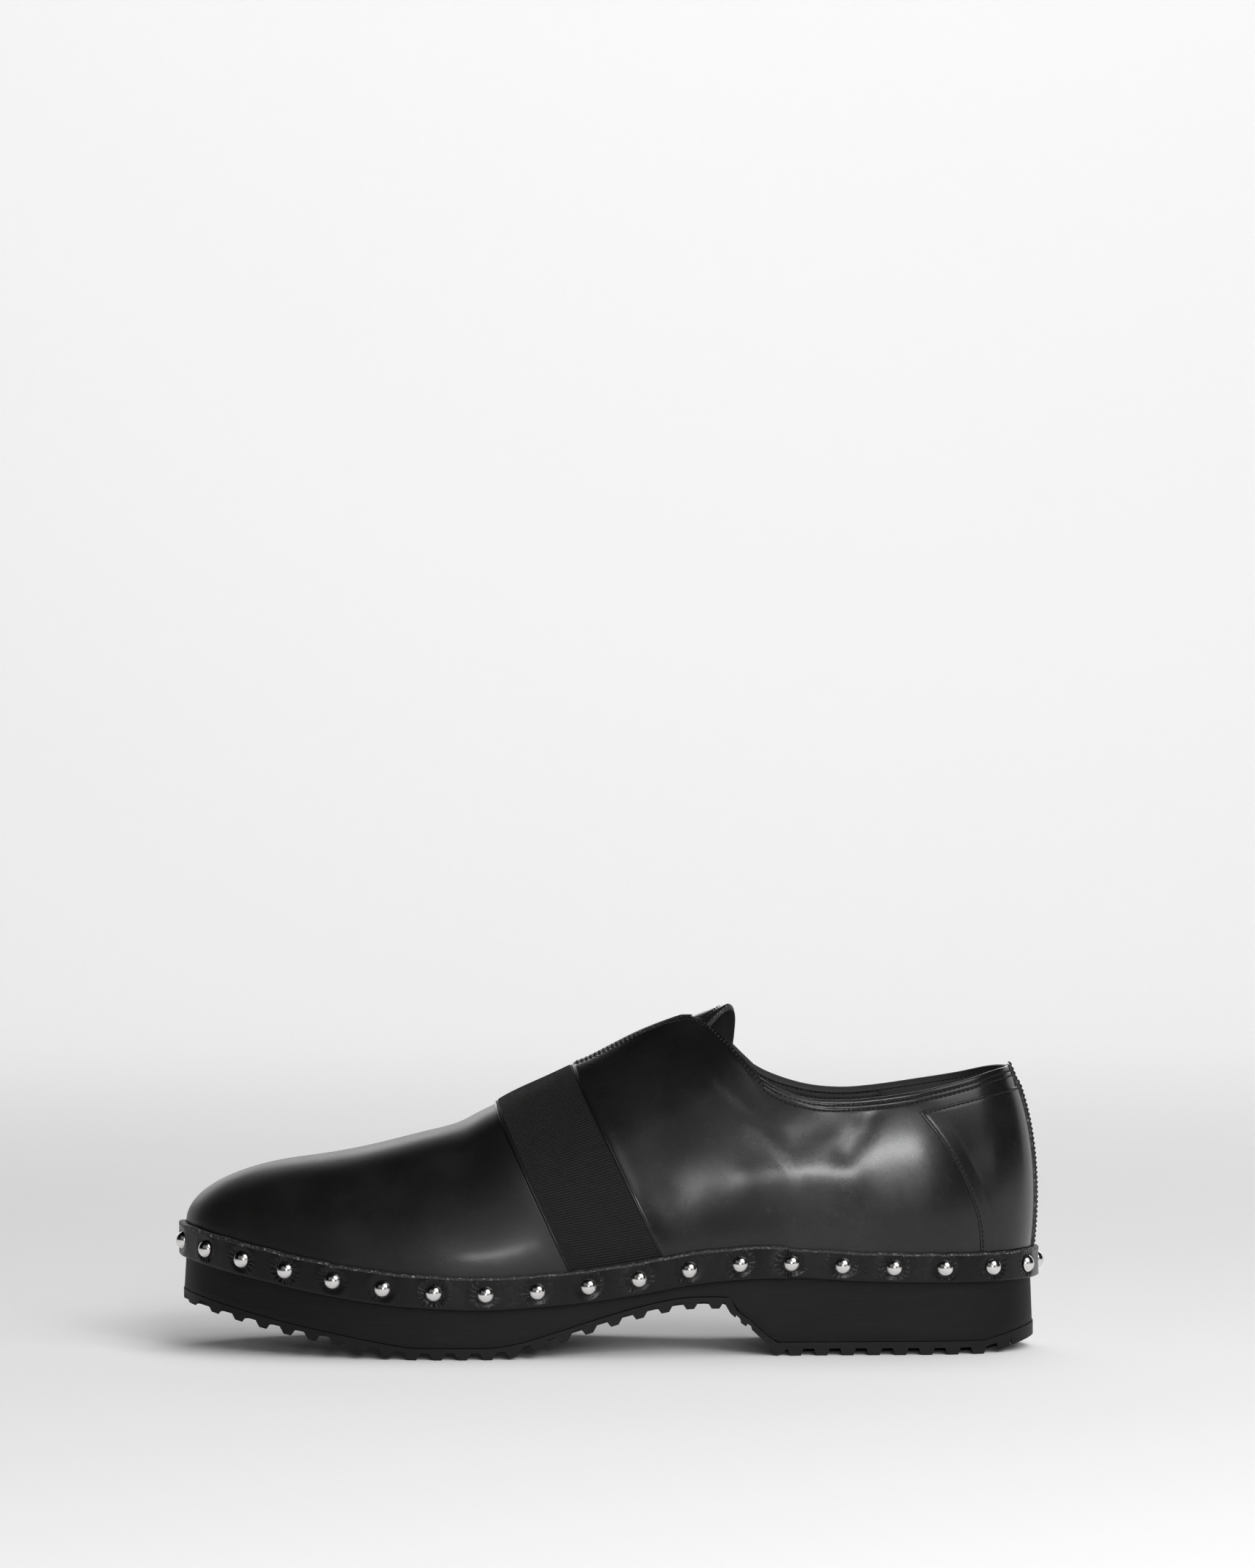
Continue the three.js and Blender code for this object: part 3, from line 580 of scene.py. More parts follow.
@dataclass(frozen=True)
class Crease:
    """Soft trough or ridge drawn on one side of the upper."""

    side: Side
    path: tuple[tuple[float, float], ...]
    width: float
    height: float

    def lift(self, points: np.ndarray, outer: np.ndarray) -> np.ndarray:
        """Lift of the leather at each point.

        Args:
            points: Points of the upper.
            outer: Whether each is on the outer side.

        Returns:
            Distances outward, below zero in a trough.
        """
        flat = points[..., [0, 2]]
        nearest = np.full(flat.shape[:-1], 1e9)
        for start, end in zip(self.path[:-1], self.path[1:]):
            a, b = np.array(start, float), np.array(end, float)
            share = np.clip(((flat - a) @ (b - a)) / ((b - a) @ (b - a)), 0, 1)
            nearest = np.minimum(nearest, np.linalg.norm(flat - a - share[..., None] * (b - a), axis=-1))
        on_side = outer if self.side is Side.OUTER else ~outer
        return self.height * bell(nearest, self.width) * on_side


# Creases in millimetres from the heel tip and from the floor
CREASES: tuple[Crease, ...] = (
    Crease(Side.OUTER, ((57, 84), (60, 77), (66, 70)), 4.0, -0.33),
    Crease(Side.OUTER, ((72, 79), (84, 74), (97, 70)), 6.0, -0.27),
    Crease(Side.OUTER, ((64, 60), (82, 63), (98, 62)), 7.0, 0.24),
    Crease(Side.OUTER, ((117, 102), (109, 94), (101, 87)), 2.2, -0.17),
    Crease(Side.OUTER, ((113, 93), (106, 86), (99, 80)), 2.4, 0.13),
    Crease(Side.OUTER, ((132, 88), (128, 76), (126, 62)), 9.0, -0.30),
    Crease(Side.OUTER, ((203, 72), (196, 60), (189, 47)), 9.0, -0.27),
    Crease(Side.OUTER, ((224, 66), (216, 54), (209, 44)), 8.0, 0.18),
    Crease(Side.INNER, ((60, 84), (66, 75), (74, 68)), 5.0, -0.30),
    Crease(Side.INNER, ((84, 80), (98, 72), (112, 68)), 7.0, -0.27),
    Crease(Side.INNER, ((118, 100), (110, 90), (103, 82)), 2.6, -0.17),
    Crease(Side.INNER, ((200, 70), (194, 58), (188, 46)), 8.0, -0.27),
    Crease(Side.INNER, ((220, 64), (214, 52), (208, 42)), 8.0, 0.18),
)


def folds(points: np.ndarray, outer: np.ndarray) -> np.ndarray:
    """Lift of all creases together at each point."""
    return sum(crease.lift(points, outer) for crease in CREASES)


# Node trees


class Wire:
    """Output of a node, with the arithmetic of numbers: each sign adds a Math node."""

    def __init__(self, tree: "Tree", socket: bpy.types.NodeSocket) -> None:
        """Wraps a socket of a tree."""
        self.tree = tree
        self.socket = socket

    def _math(self, operation: str, *values: Any) -> "Wire":
        """Adds a Math node and returns its output."""
        inputs = dict(enumerate(values))
        return self.tree.node("ShaderNodeMath", {"operation": operation}, inputs)[0]

    def __add__(self, other: Any) -> "Wire":
        """Sum."""
        return self._math("ADD", self, other)

    def __radd__(self, other: Any) -> "Wire":
        """Sum, the other way round."""
        return self._math("ADD", other, self)

    def __sub__(self, other: Any) -> "Wire":
        """Difference."""
        return self._math("SUBTRACT", self, other)

    def __rsub__(self, other: Any) -> "Wire":
        """Difference, the other way round."""
        return self._math("SUBTRACT", other, self)

    def __mul__(self, other: Any) -> "Wire":
        """Product."""
        return self._math("MULTIPLY", self, other)

    def __rmul__(self, other: Any) -> "Wire":
        """Product, the other way round."""
        return self._math("MULTIPLY", other, self)

    def __pow__(self, other: Any) -> "Wire":
        """Power."""
        return self._math("POWER", self, other)

    def above(self, edge: float, soft: float) -> "Wire":
        """Smooth step from 0 to 1 round an edge."""
        settings = {"interpolation_type": "SMOOTHSTEP"}
        inputs = {"Value": self, "From Min": edge - soft, "From Max": edge + soft}
        return self.tree.node("ShaderNodeMapRange", settings, inputs)[0]

    def wave(self) -> "Wire":
        """Sine."""
        return self._math("SINE", self)

    def remainder(self, size: float) -> "Wire":
        """What is left over after whole steps of a size, from 0 up."""
        return self._math("FLOORED_MODULO", self, size)


class Outputs:
    """Outputs of a node, by number or name."""

    def __init__(self, tree: "Tree", node: bpy.types.Node) -> None:
        """Wraps the outputs of a node."""
        self.tree = tree
        self.node = node

    def __getitem__(self, key: int | str) -> Wire:
        """Output as a wire; a number counts the outputs that are in use."""
        if isinstance(key, int):
            return Wire(self.tree, [s for s in self.node.outputs if s.enabled][key])
        return Wire(self.tree, self.node.outputs[key])


class Tree:
    """Builder of a shader or geometry tree."""

    def __init__(self, tree: bpy.types.NodeTree) -> None:
        """Starts on a tree."""
        self.tree = tree

    def node(self, kind: str, settings: Sockets | None = None, inputs: Sockets | None = None) -> Outputs:
        """Adds a node.

        Args:
            kind: Type of the node.
            settings: Its settings, which are set first; stops are those of a ramp.
            inputs: Values or wires of its sockets, by name or number.

        Returns:
            Outputs of the node.
        """
        made = self.tree.nodes.new(kind)
        for key, value in (settings or {}).items():
            if key == "stops":
                self._stops(made.color_ramp, value)
            else:
                setattr(made, key, value)
        for key, value in (inputs or {}).items():
            socket = made.inputs[key]
            if isinstance(value, Wire):
                self.tree.links.new(value.socket, socket)
            else:
                socket.default_value = value
        return Outputs(self, made)

    def _stops(self, ramp: bpy.types.ColorRamp, stops: Sequence[tuple[float, float]]) -> None:
        """Sets the stops of a ramp from places and greys."""
        while len(ramp.elements) < len(stops):
            ramp.elements.new(0.5)
        for element, (place, grey) in zip(ramp.elements, stops):
            element.position = place
            element.color = (grey, grey, grey, 1)

    def blend(self, share: Any, first: Any, second: Any) -> Wire:
        """Mixes two colours by a share; the sockets of colours are numbers 6 and 7."""
        return self.node("ShaderNodeMix", {"data_type": "RGBA"}, {0: share, 6: first, 7: second})[0]


class Shader(Tree):
    """Builder of a material."""

    def __init__(self, material: bpy.types.Material) -> None:
        """Clears the material and adds its surface."""
        material.use_nodes = True
        super().__init__(material.node_tree)
        self.tree.nodes.clear()
        made = self.node("ShaderNodeBsdfPrincipled")
        self.surface = made.node
        self.node("ShaderNodeOutputMaterial", None, {0: made[0]})
        self.place = self.node("ShaderNodeTexCoord")["Object"]

    def set(self, **values: Any) -> None:
        """Sets or links sockets of the surface, with spaces written as underscores."""
        for key, value in values.items():
            socket = self.surface.inputs[key.replace("_", " ")]
            if isinstance(value, Wire):
                self.tree.links.new(value.socket, socket)
            else:
                socket.default_value = value

    def noise(self, size: float, detail: float = 3.0, rough: float = 0.5, where: Wire | None = None) -> Wire:
        """Noise.

        Args:
            size: Width of its spots in millimetres.
            detail: Finer layers.
            rough: Strength of the finer layers.
            where: Coordinates, or None for the object's own.

        Returns:
            Values about 0.5.
        """
        inputs = {"Vector": where or self.place, "Scale": 1 / (size * MM), "Detail": detail, "Roughness": rough}
        return self.node("ShaderNodeTexNoise", {"noise_dimensions": "3D"}, inputs)[0]

    def cells(self, size: float) -> Wire:
        """Distance in cells of a size in millimetres."""
        inputs = {"Vector": self.place, "Scale": 1 / (size * MM)}
        return self.node("ShaderNodeTexVoronoi", {"feature": "F1"}, inputs)["Distance"]

    def stretched(self, x: float, y: float, z: float) -> Wire:
        """Coordinates scaled along each axis."""
        return self.node("ShaderNodeMapping", None, {"Vector": self.place, "Scale": (x, y, z)})[0]

    def bump(self, height: Wire, depth: float, normal: Wire | None = None, strength: float = 1.0) -> Wire:
        """Bump.

        Args:
            height: Height pattern.
            depth: Depth in millimetres for a height of 1.
            normal: Bump below it.
            strength: Strength.

        Returns:
            Normal.
        """
        inputs: Sockets = {"Strength": strength, "Distance": depth * MM, "Height": height}
        if normal is not None:
            inputs["Normal"] = normal
        return self.node("ShaderNodeBump", None, inputs)[0]


def grey(value: float) -> tuple[float, float, float, float]:
    """Neutral colour, a trace warm."""
    return (value * 1.02, value, value * 0.99, 1.0)


# Finishes


@dataclass(frozen=True)
class Finish:
    """Finish of a surface. Its material is made once."""

    name: str
    made: ClassVar[dict[str, bpy.types.Material]] = {}

    def material(self) -> bpy.types.Material:
        """Material of the finish, never one that came with the CAD nodes."""
        if self.name not in self.made:
            self.made[self.name] = bpy.data.materials.new(self.name)
            self.dress(Shader(self.made[self.name]))
        return self.made[self.name]

    def dress(self, shader: Shader) -> None:
        """Sets the material's nodes."""
        raise NotImplementedError


@dataclass(frozen=True)
class CalfLeather(Finish):
    """Smooth black calf with a fine grain, slightly waxed."""

    tone: float = 0.007
    roughness: float = 0.25
    grain_size: float = 0.42
    grain_depth: float = 0.022
    coat: float = 0.3
    specular: float = 0.32
    wear: float = 0.25
    wave_depth: float = 0.1

    def dress(self, shader: Shader) -> None:
        """Sets the material's nodes."""
        grain = shader.cells(self.grain_size)
        pores = shader.noise(0.2, 2.0)
        clouds = shader.noise(26.0, 3.0)
        waves = shader.noise(14.0, 1.0, 0.3)
        rubbed = clouds.above(0.52, 0.14)
        worn = shader.noise(3.5, 4.0, 0.6).above(0.62, 0.1) * self.wear
        shader.set(
            Base_Color=shader.blend(rubbed * 0.6 + worn * 0.4, grey(self.tone * 0.8), grey(self.tone * 1.5)),
            Roughness=self.roughness + (clouds - 0.5) * 0.16 + (pores - 0.5) * 0.12 + worn * 0.12,
            Specular_IOR_Level=self.specular,
            Coat_Weight=self.coat,
            Coat_Roughness=0.16,
            Coat_IOR=1.5,
        )
        low = shader.bump(waves, self.wave_depth)
        fine = shader.bump(grain + pores * 0.35, self.grain_depth, low, 0.8)
        shader.set(Normal=fine)


@dataclass(frozen=True)
class LiningLeather(Finish):
    """Soft dull lining leather."""

    tone: float = 0.016
    roughness: float = 0.58

    def dress(self, shader: Shader) -> None:
        """Sets the material's nodes."""
        pores = shader.noise(0.5, 3.0)
        clouds = shader.noise(14.0, 3.0)
        shader.set(
            Base_Color=shader.blend(clouds, grey(self.tone * 0.7), grey(self.tone * 1.6)),
            Roughness=self.roughness + (pores - 0.5) * 0.2,
            Specular_IOR_Level=0.4,
            Normal=shader.bump(pores + shader.cells(0.9) * 0.6, 0.07),
        )


@dataclass(frozen=True)
class RandLeather(Finish):
    """Firm glossy strip leather, puckered round the studs."""

    tone: float = 0.003
    stud_step: float = 17.0
    stud_radius: float = 2.95

    def dress(self, shader: Shader) -> None:
        """Sets the material's nodes."""
        flat = shader.node("ShaderNodeUVMap", {"uv_map": "Flat"})[0]
        parts = shader.node("ShaderNodeSeparateXYZ", None, {0: flat})
        along = (parts["X"] + self.stud_step / 2).remainder(self.stud_step) - self.stud_step / 2
        up = parts["Y"]
        ring = (along * along + up * up) ** 0.5
        turn = shader.node("ShaderNodeMath", {"operation": "ARCTAN2"}, {0: up, 1: along})[0]
        near = (ring - self.stud_radius - 0.2).above(0.0, 0.25) * (1 - (ring - self.stud_radius).above(2.0, 1.6))
        wobble = shader.noise(2.2, 2.0)
        patch = shader.noise(9.0, 2.0).above(0.52, 0.08)
        pucker = (turn * 17.0 + wobble * 9.0).wave() * near * patch
        clouds = shader.noise(13.0, 3.0)
        pores = shader.noise(0.3, 3.0)
        scuff = shader.noise(1.0, 4.0, 0.65, shader.stretched(0.18, 0.18, 1.0)).above(0.7, 0.05)
        shader.set(
            Base_Color=shader.blend(clouds * 0.5 + scuff * 0.5, grey(self.tone * 0.8), grey(self.tone * 1.7)),
            Roughness=0.28 + (clouds - 0.5) * 0.14 + scuff * 0.15 + (pores - 0.5) * 0.1,
            Specular_IOR_Level=0.22,
            Coat_Weight=0.09,
            Coat_Roughness=0.18,
        )
        low = shader.bump(clouds * 0.7 + pucker * 0.5, 0.3)
        shader.set(Normal=shader.bump(pores + shader.cells(0.5) * 0.5, 0.03, low))


@dataclass(frozen=True)
class RawEdge(Finish):
    """Cut edge of leather, stained black, with a fibrous bump; its colour is painted lighter than the grain, with
    bright spots, as painted highlight and painted glints along the edge.
    """

    # Lighter than the calf: painted highlight along the cut edges.
    tone: float = 0.022

    def dress(self, shader: Shader) -> None:
        """Sets the material's nodes."""
        fibre = shader.noise(0.35, 4.0, 0.7)
        # Bright spots in the colour, nine times the tone: painted glints on the fibres.
        painted_glints = shader.noise(0.9, 4.0, 0.7).above(0.6, 0.06)
        shader.set(
            Base_Color=shader.blend(painted_glints, grey(self.tone * 0.6), grey(self.tone * 9.0)),
            Roughness=0.5 + (fibre - 0.5) * 0.3 - painted_glints * 0.15,
            Normal=shader.bump(fibre + painted_glints * 0.5, 0.14),
        )


@dataclass(frozen=True)
class ElasticWeave(Finish):
    """Black elastic with covered rubber threads."""

    tone: float = 0.011
    pick: float = 0.42

    def dress(self, shader: Shader) -> None:
        """Sets the material's nodes."""
        fuzz = shader.noise(0.16, 3.0, 0.6)
        picks = shader.cells(self.pick)
        clouds = shader.noise(9.0, 3.0)
        shader.set(
            Base_Color=shader.blend(fuzz * 0.6 + clouds * 0.4, grey(self.tone * 0.6), grey(self.tone * 2.2)),
            Roughness=0.62 + (fuzz - 0.5) * 0.3,
            Specular_IOR_Level=0.35,
            Sheen_Weight=0.08,
            Sheen_Roughness=0.4,
            Normal=shader.bump(picks + fuzz * 0.5, 0.1),
        )


@dataclass(frozen=True)
class Thread(Finish):
    """Waxed black sewing thread."""

    tone: float = 0.004

    def dress(self, shader: Shader) -> None:
        """Sets the material's nodes."""
        twist = shader.noise(0.2, 2.0)
        shader.set(
            Base_Color=shader.blend(twist, grey(self.tone * 0.6), grey(self.tone * 1.8)),
            Roughness=0.36 + (twist - 0.5) * 0.3,
            Normal=shader.bump(twist, 0.05),
        )


@dataclass(frozen=True)
class Rubber(Finish):
    """Matte black rubber with a moulded skin and a little dust."""

    tone: float = 0.014
    roughness: float = 0.6
    speck: float = 0.5

    def dress(self, shader: Shader) -> None:
        """Sets the material's nodes."""
        skin = shader.noise(0.45, 3.0, 0.6)
        clouds = shader.noise(18.0, 4.0)
        dust = shader.noise(1.1, 5.0, 0.7).above(0.7, 0.035)
        streaks = shader.noise(1.0, 3.0, 0.5, shader.stretched(0.08, 0.08, 0.9)).above(0.6, 0.2)
        shader.set(
            Base_Color=shader.blend(
                clouds * 0.45 + streaks * 0.25 + dust * self.speck, grey(self.tone * 0.7), grey(self.tone * 2.2)
            ),
            Roughness=self.roughness + (clouds - 0.5) * 0.18 + dust * 0.12,
            Specular_IOR_Level=0.22,
            Normal=shader.bump(skin + dust * 0.4 + streaks * 0.3, 0.07),
        )


@dataclass(frozen=True)
class Chrome(Finish):
    """Polished chrome with faint handling marks."""

    tone: float = 0.8
    roughness: float = 0.19

    def dress(self, shader: Shader) -> None:
        """Sets the material's nodes."""
        smear = shader.noise(1.3, 4.0, 0.6)
        shader.set(
            Base_Color=shader.blend(smear, grey(self.tone), grey(self.tone * 0.9)),
            Metallic=1.0,
            Roughness=self.roughness + smear.above(0.6, 0.1) * 0.07,
            Normal=shader.bump(shader.noise(2.0, 2.0), 0.02),
        )


@dataclass(frozen=True)
class PaleStage(Finish):
    """Pale seamless paper that carries part of its own light away from the shoe."""

    tone: float = 0.8
    glow: float = 0.32
    near: float = 0.3
    far: float = 2.5

    def dress(self, shader: Shader) -> None:
        """Sets the material's nodes."""
        soft = shader.noise(900.0, 2.0)
        parts = shader.node("ShaderNodeSeparateXYZ", None, {0: shader.place})
        away = (parts["X"] * parts["X"] + parts["Y"] * parts["Y"]) ** 0.5
        lit = away.above((self.near + self.far) / 2, (self.far - self.near) / 2)
        shader.set(
            Base_Color=shader.blend(
                soft, (self.tone, self.tone * 0.99, self.tone, 1.0), (self.tone * 1.01,) * 3 + (1.0,)
            ),
            Roughness=0.9,
            Specular_IOR_Level=0.1,
            Emission_Color=shader.blend(lit, (0.03, 0.03, 0.03, 1.0), (1.0, 0.995, 1.0, 1.0)),
            Emission_Strength=self.glow,
        )


CALF = CalfLeather("calf_leather")
VAMP_CALF = CalfLeather("vamp_calf", roughness=0.4, coat=0.1, specular=0.36)
COUNTER_CALF = CalfLeather("counter_calf", roughness=0.27)
LINING = LiningLeather("lining_calf")
TOPLINE = LiningLeather("topline_edge", tone=0.04, roughness=0.36)
GRIP = LiningLeather("heel_grip_suede", tone=0.022, roughness=0.85)
FOOTBED = LiningLeather("footbed_leather", tone=0.02, roughness=0.5)
# Cut edges of the rand, counter, back strip and tongue, painted lighter as a highlight.
EDGE = RawEdge("cut_leather_edge_painted_highlight")
# The strip's weave is painted darker than the ribs' copy (tone 0.001 against 0.0032): painted shade in the gaps
# between the ribs.
ELASTIC = ElasticWeave("elastic_weave_painted_gap_shade", tone=0.001)
RIBS = ElasticWeave("elastic_rib_weave", tone=0.0032)
THREAD = Thread("sewing_thread")
MIDSOLE = Rubber("midsole_compound", tone=0.004, roughness=0.6)
OUTSOLE = Rubber("outsole_compound", tone=0.005, roughness=0.55)
CHROME = Chrome("stud_chrome")


# Geometry Nodes


class Grower(Tree):
    """Builder of a geometry tree that grows repeated work along lines."""

    def __init__(self, name: str, sizes: dict[str, float]) -> None:
        """Starts a tree with named sizes.

        Args:
            name: Name of the tree.
            sizes: Names and values of its inputs, in metres or counts.
        """
        super().__init__(bpy.data.node_groups.new(name, "GeometryNodeTree"))
        face = self.tree.interface
        face.new_socket("Geometry", in_out="INPUT", socket_type="NodeSocketGeometry")
        for key, value in sizes.items():
            kind = "NodeSocketInt" if isinstance(value, int) else "NodeSocketFloat"
            face.new_socket(key, in_out="INPUT", socket_type=kind).default_value = value
        face.new_socket("Geometry", in_out="OUTPUT", socket_type="NodeSocketGeometry")
        self.sizes = sizes
        self.given = self.node("NodeGroupInput")

    def finish(self, shape: Wire, finish: Finish) -> None:
        """Makes the shape real, gives it its finish and ends the tree."""
        real = self.node("GeometryNodeRealizeInstances", None, {0: shape})[0]
        dressed = self.node("GeometryNodeSetMaterial", None, {0: real, "Material": finish.material()})[0]
        self.node("NodeGroupOutput", None, {0: dressed})

    def grow(self, name: str, lines: "Lines", finish: Finish) -> bpy.types.Object:
        """Runs the tree over lines and returns the result as a plain piece.

        Args:
            name: Name of the piece.
            lines: Lines or points that it grows on.
            finish: Finish of the piece.

        Returns:
            The new piece.
        """
        seed = lines.object(name + "_lines")
        modifier = seed.modifiers.new("grow", "NODES")
        modifier.node_group = self.tree
        for item in self.tree.interface.items_tree:
            if item.in_out == "INPUT" and item.name in self.sizes:
                modifier[item.identifier] = self.sizes[item.name]
        bpy.context.view_layer.update()
        seen = seed.evaluated_get(bpy.context.evaluated_depsgraph_get())
        mesh = bpy.data.meshes.new_from_object(seen)
        mesh.name = name
        seed.modifiers.clear()
        bpy.data.objects.remove(seed)
        mesh.shade_smooth()
        mesh.set_sharp_from_angle(angle=math.radians(50))
        if not mesh.materials:
            mesh.materials.append(finish.material())
        made = bpy.data.objects.new(name, mesh)
        bpy.context.scene.collection.objects.link(made)
        return made


class Lines:
    """Polylines with the outward direction at each point, which repeated work grows on."""

    def __init__(self) -> None:
        """Starts with none."""
        self.points: list[np.ndarray] = []
        self.facings: list[np.ndarray] = []
        self.edges: list[tuple[int, int]] = []
        self.count = 0

    def add(self, points: np.ndarray, facings: np.ndarray, joined: bool = True) -> None:
        """Adds a line, or loose points.

        Args:
            points: Points in millimetres.
            facings: Outward directions.
            joined: Whether the points make a line.
        """
        self.points.append(points)
        self.facings.append(facings)
        if joined:
            self.edges += [(self.count + i, self.count + i + 1) for i in range(len(points) - 1)]
        self.count += len(points)

    def object(self, name: str) -> bpy.types.Object:
        """Object with the lines as edges and their directions as an attribute."""
        mesh = bpy.data.meshes.new(name)
        points = (np.concatenate(self.points) + ORIGIN) * MM
        mesh.from_pydata(points.tolist(), self.edges, [])
        facing = mesh.attributes.new("facing", "FLOAT_VECTOR", "POINT")
        facing.data.foreach_set("vector", np.concatenate(self.facings).astype(np.float32).ravel())
        made = bpy.data.objects.new(name, mesh)
        bpy.context.scene.collection.objects.link(made)
        return made


def stitch_tree(name: str, pitch: float, length: float, radius: float, finish: Finish) -> Grower:
    """Tree that sews stitches along lines.

    Args:
        name: Name of the tree.
        pitch: Distance from stitch to stitch in millimetres.
        length: Length of a stitch.
        radius: Radius of the thread.
        finish: Finish of the thread.

    Returns:
        The tree.
    """
    sizes = {"Stitch Pitch": pitch * MM, "Half Stitch": length / 2 * MM, "Thread Radius": radius * MM, "Seed": 7}
    tree = Grower(name, sizes)

    def corner(x: Wire, z: Wire) -> Wire:
        """Corner of the stitch's arc."""
        return tree.node("ShaderNodeCombineXYZ", None, {0: x, 1: 0.0, 2: z})[0]

    line = tree.node("GeometryNodeMeshToCurve", None, {0: tree.given["Geometry"]})[0]
    spread = tree.node(
        "GeometryNodeResampleCurve", {"mode": "LENGTH"}, {"Curve": line, "Length": tree.given["Stitch Pitch"]}
    )[0]
    half = tree.given["Half Stitch"]
    thick = tree.given["Thread Radius"]
    arc = tree.node(
        "GeometryNodeCurveQuadraticBezier", None,
        {"Resolution": 6, "Start": corner(half * -1, thick * -1.1), "Middle": corner(half * 0, thick * 1.7),
         "End": corner(half, thick * -1.1)},
    )[0]
    ring = tree.node("GeometryNodeCurvePrimitiveCircle", None, {"Resolution": 7, "Radius": thick})[0]
    loop = tree.node("GeometryNodeCurveToMesh", None, {0: arc, 1: ring, "Fill Caps": True})[0]
    facing = tree.node("GeometryNodeInputNamedAttribute", {"data_type": "FLOAT_VECTOR"}, {"Name": "facing"})[0]
    tangent = tree.node("GeometryNodeInputTangent")[0]
    turned = tree.node(
        "FunctionNodeAxesToRotation", {"primary_axis": "Z", "secondary_axis": "X"}, {0: facing, 1: tangent}
    )[0]
    uneven = tree.node(
        "FunctionNodeRandomValue", {"data_type": "FLOAT"}, {2: 0.94, 3: 1.05, 8: tree.given["Seed"]}
    )[0]
    sewn = tree.node(
        "GeometryNodeInstanceOnPoints", None,
        {"Points": spread, "Instance": loop, "Rotation": turned, "Scale": uneven},
    )[0]
    tree.finish(sewn, finish)
    return tree


def cord_tree(name: str, radius: float, sides: int, finish: Finish) -> Grower:
    """Tree that lays a thin cord along each line, of a radius in millimetres."""
    tree = Grower(name, {"Cord Radius": radius * MM, "Cord Sides": sides})
    line = tree.node("GeometryNodeMeshToCurve", None, {0: tree.given["Geometry"]})[0]
    ring = tree.node(
        "GeometryNodeCurvePrimitiveCircle", None,
        {"Resolution": tree.given["Cord Sides"], "Radius": tree.given["Cord Radius"]},
    )[0]
    tree.finish(tree.node("GeometryNodeCurveToMesh", None, {0: line, 1: ring, "Fill Caps": True})[0], finish)
    return tree


# Sub-assemblies of the upper


@dataclass
class GoreEdges:
    """Slanted strip in side view that the elastic crosses the instep in."""

    last: Last
    width: float = 30.5
    lean: float = 25.8
    front_along: float = 0.633
    front_height: float = 0.623

    def back(self, points: np.ndarray) -> np.ndarray:
        """Distance of points behind the front edge."""
        lean = math.radians(self.lean)
        height = self.last.platform + self.front_height * self.last.instep_rise
        front = np.array([self.front_along * self.last.length, height])
        way = np.array([-math.cos(lean), math.sin(lean)])
        return (points[..., [0, 2]] - front) @ way

    def half(self, side: Side, turn: np.ndarray, back: float) -> np.ndarray:
        """Place of a line across the upper.

        Args:
            side: Side of the foot.
            turn: Turns up the wall.
            back: Distance of the line behind the front edge.

        Returns:
            Places counted from the heel along that side, from 0 to 0.5.
        """
        def over(half: np.ndarray) -> np.ndarray:
            """Distance still to go toward the toe."""
            return self.back(self.last.point(side.place(half), turn)) - back

        turn = np.asarray(turn, float)
        return bisect(over, np.full(turn.shape, 0.03), np.full(turn.shape, 0.499))

    def curve(self, side: Side, back: float) -> Callable[[np.ndarray], np.ndarray]:
        """Place of a line across the upper as a function of the turn."""
        turns = np.linspace(-0.12, 1, 500)
        halves = self.half(side, turns, back)
        return lambda turn: np.interp(turn, turns, halves)


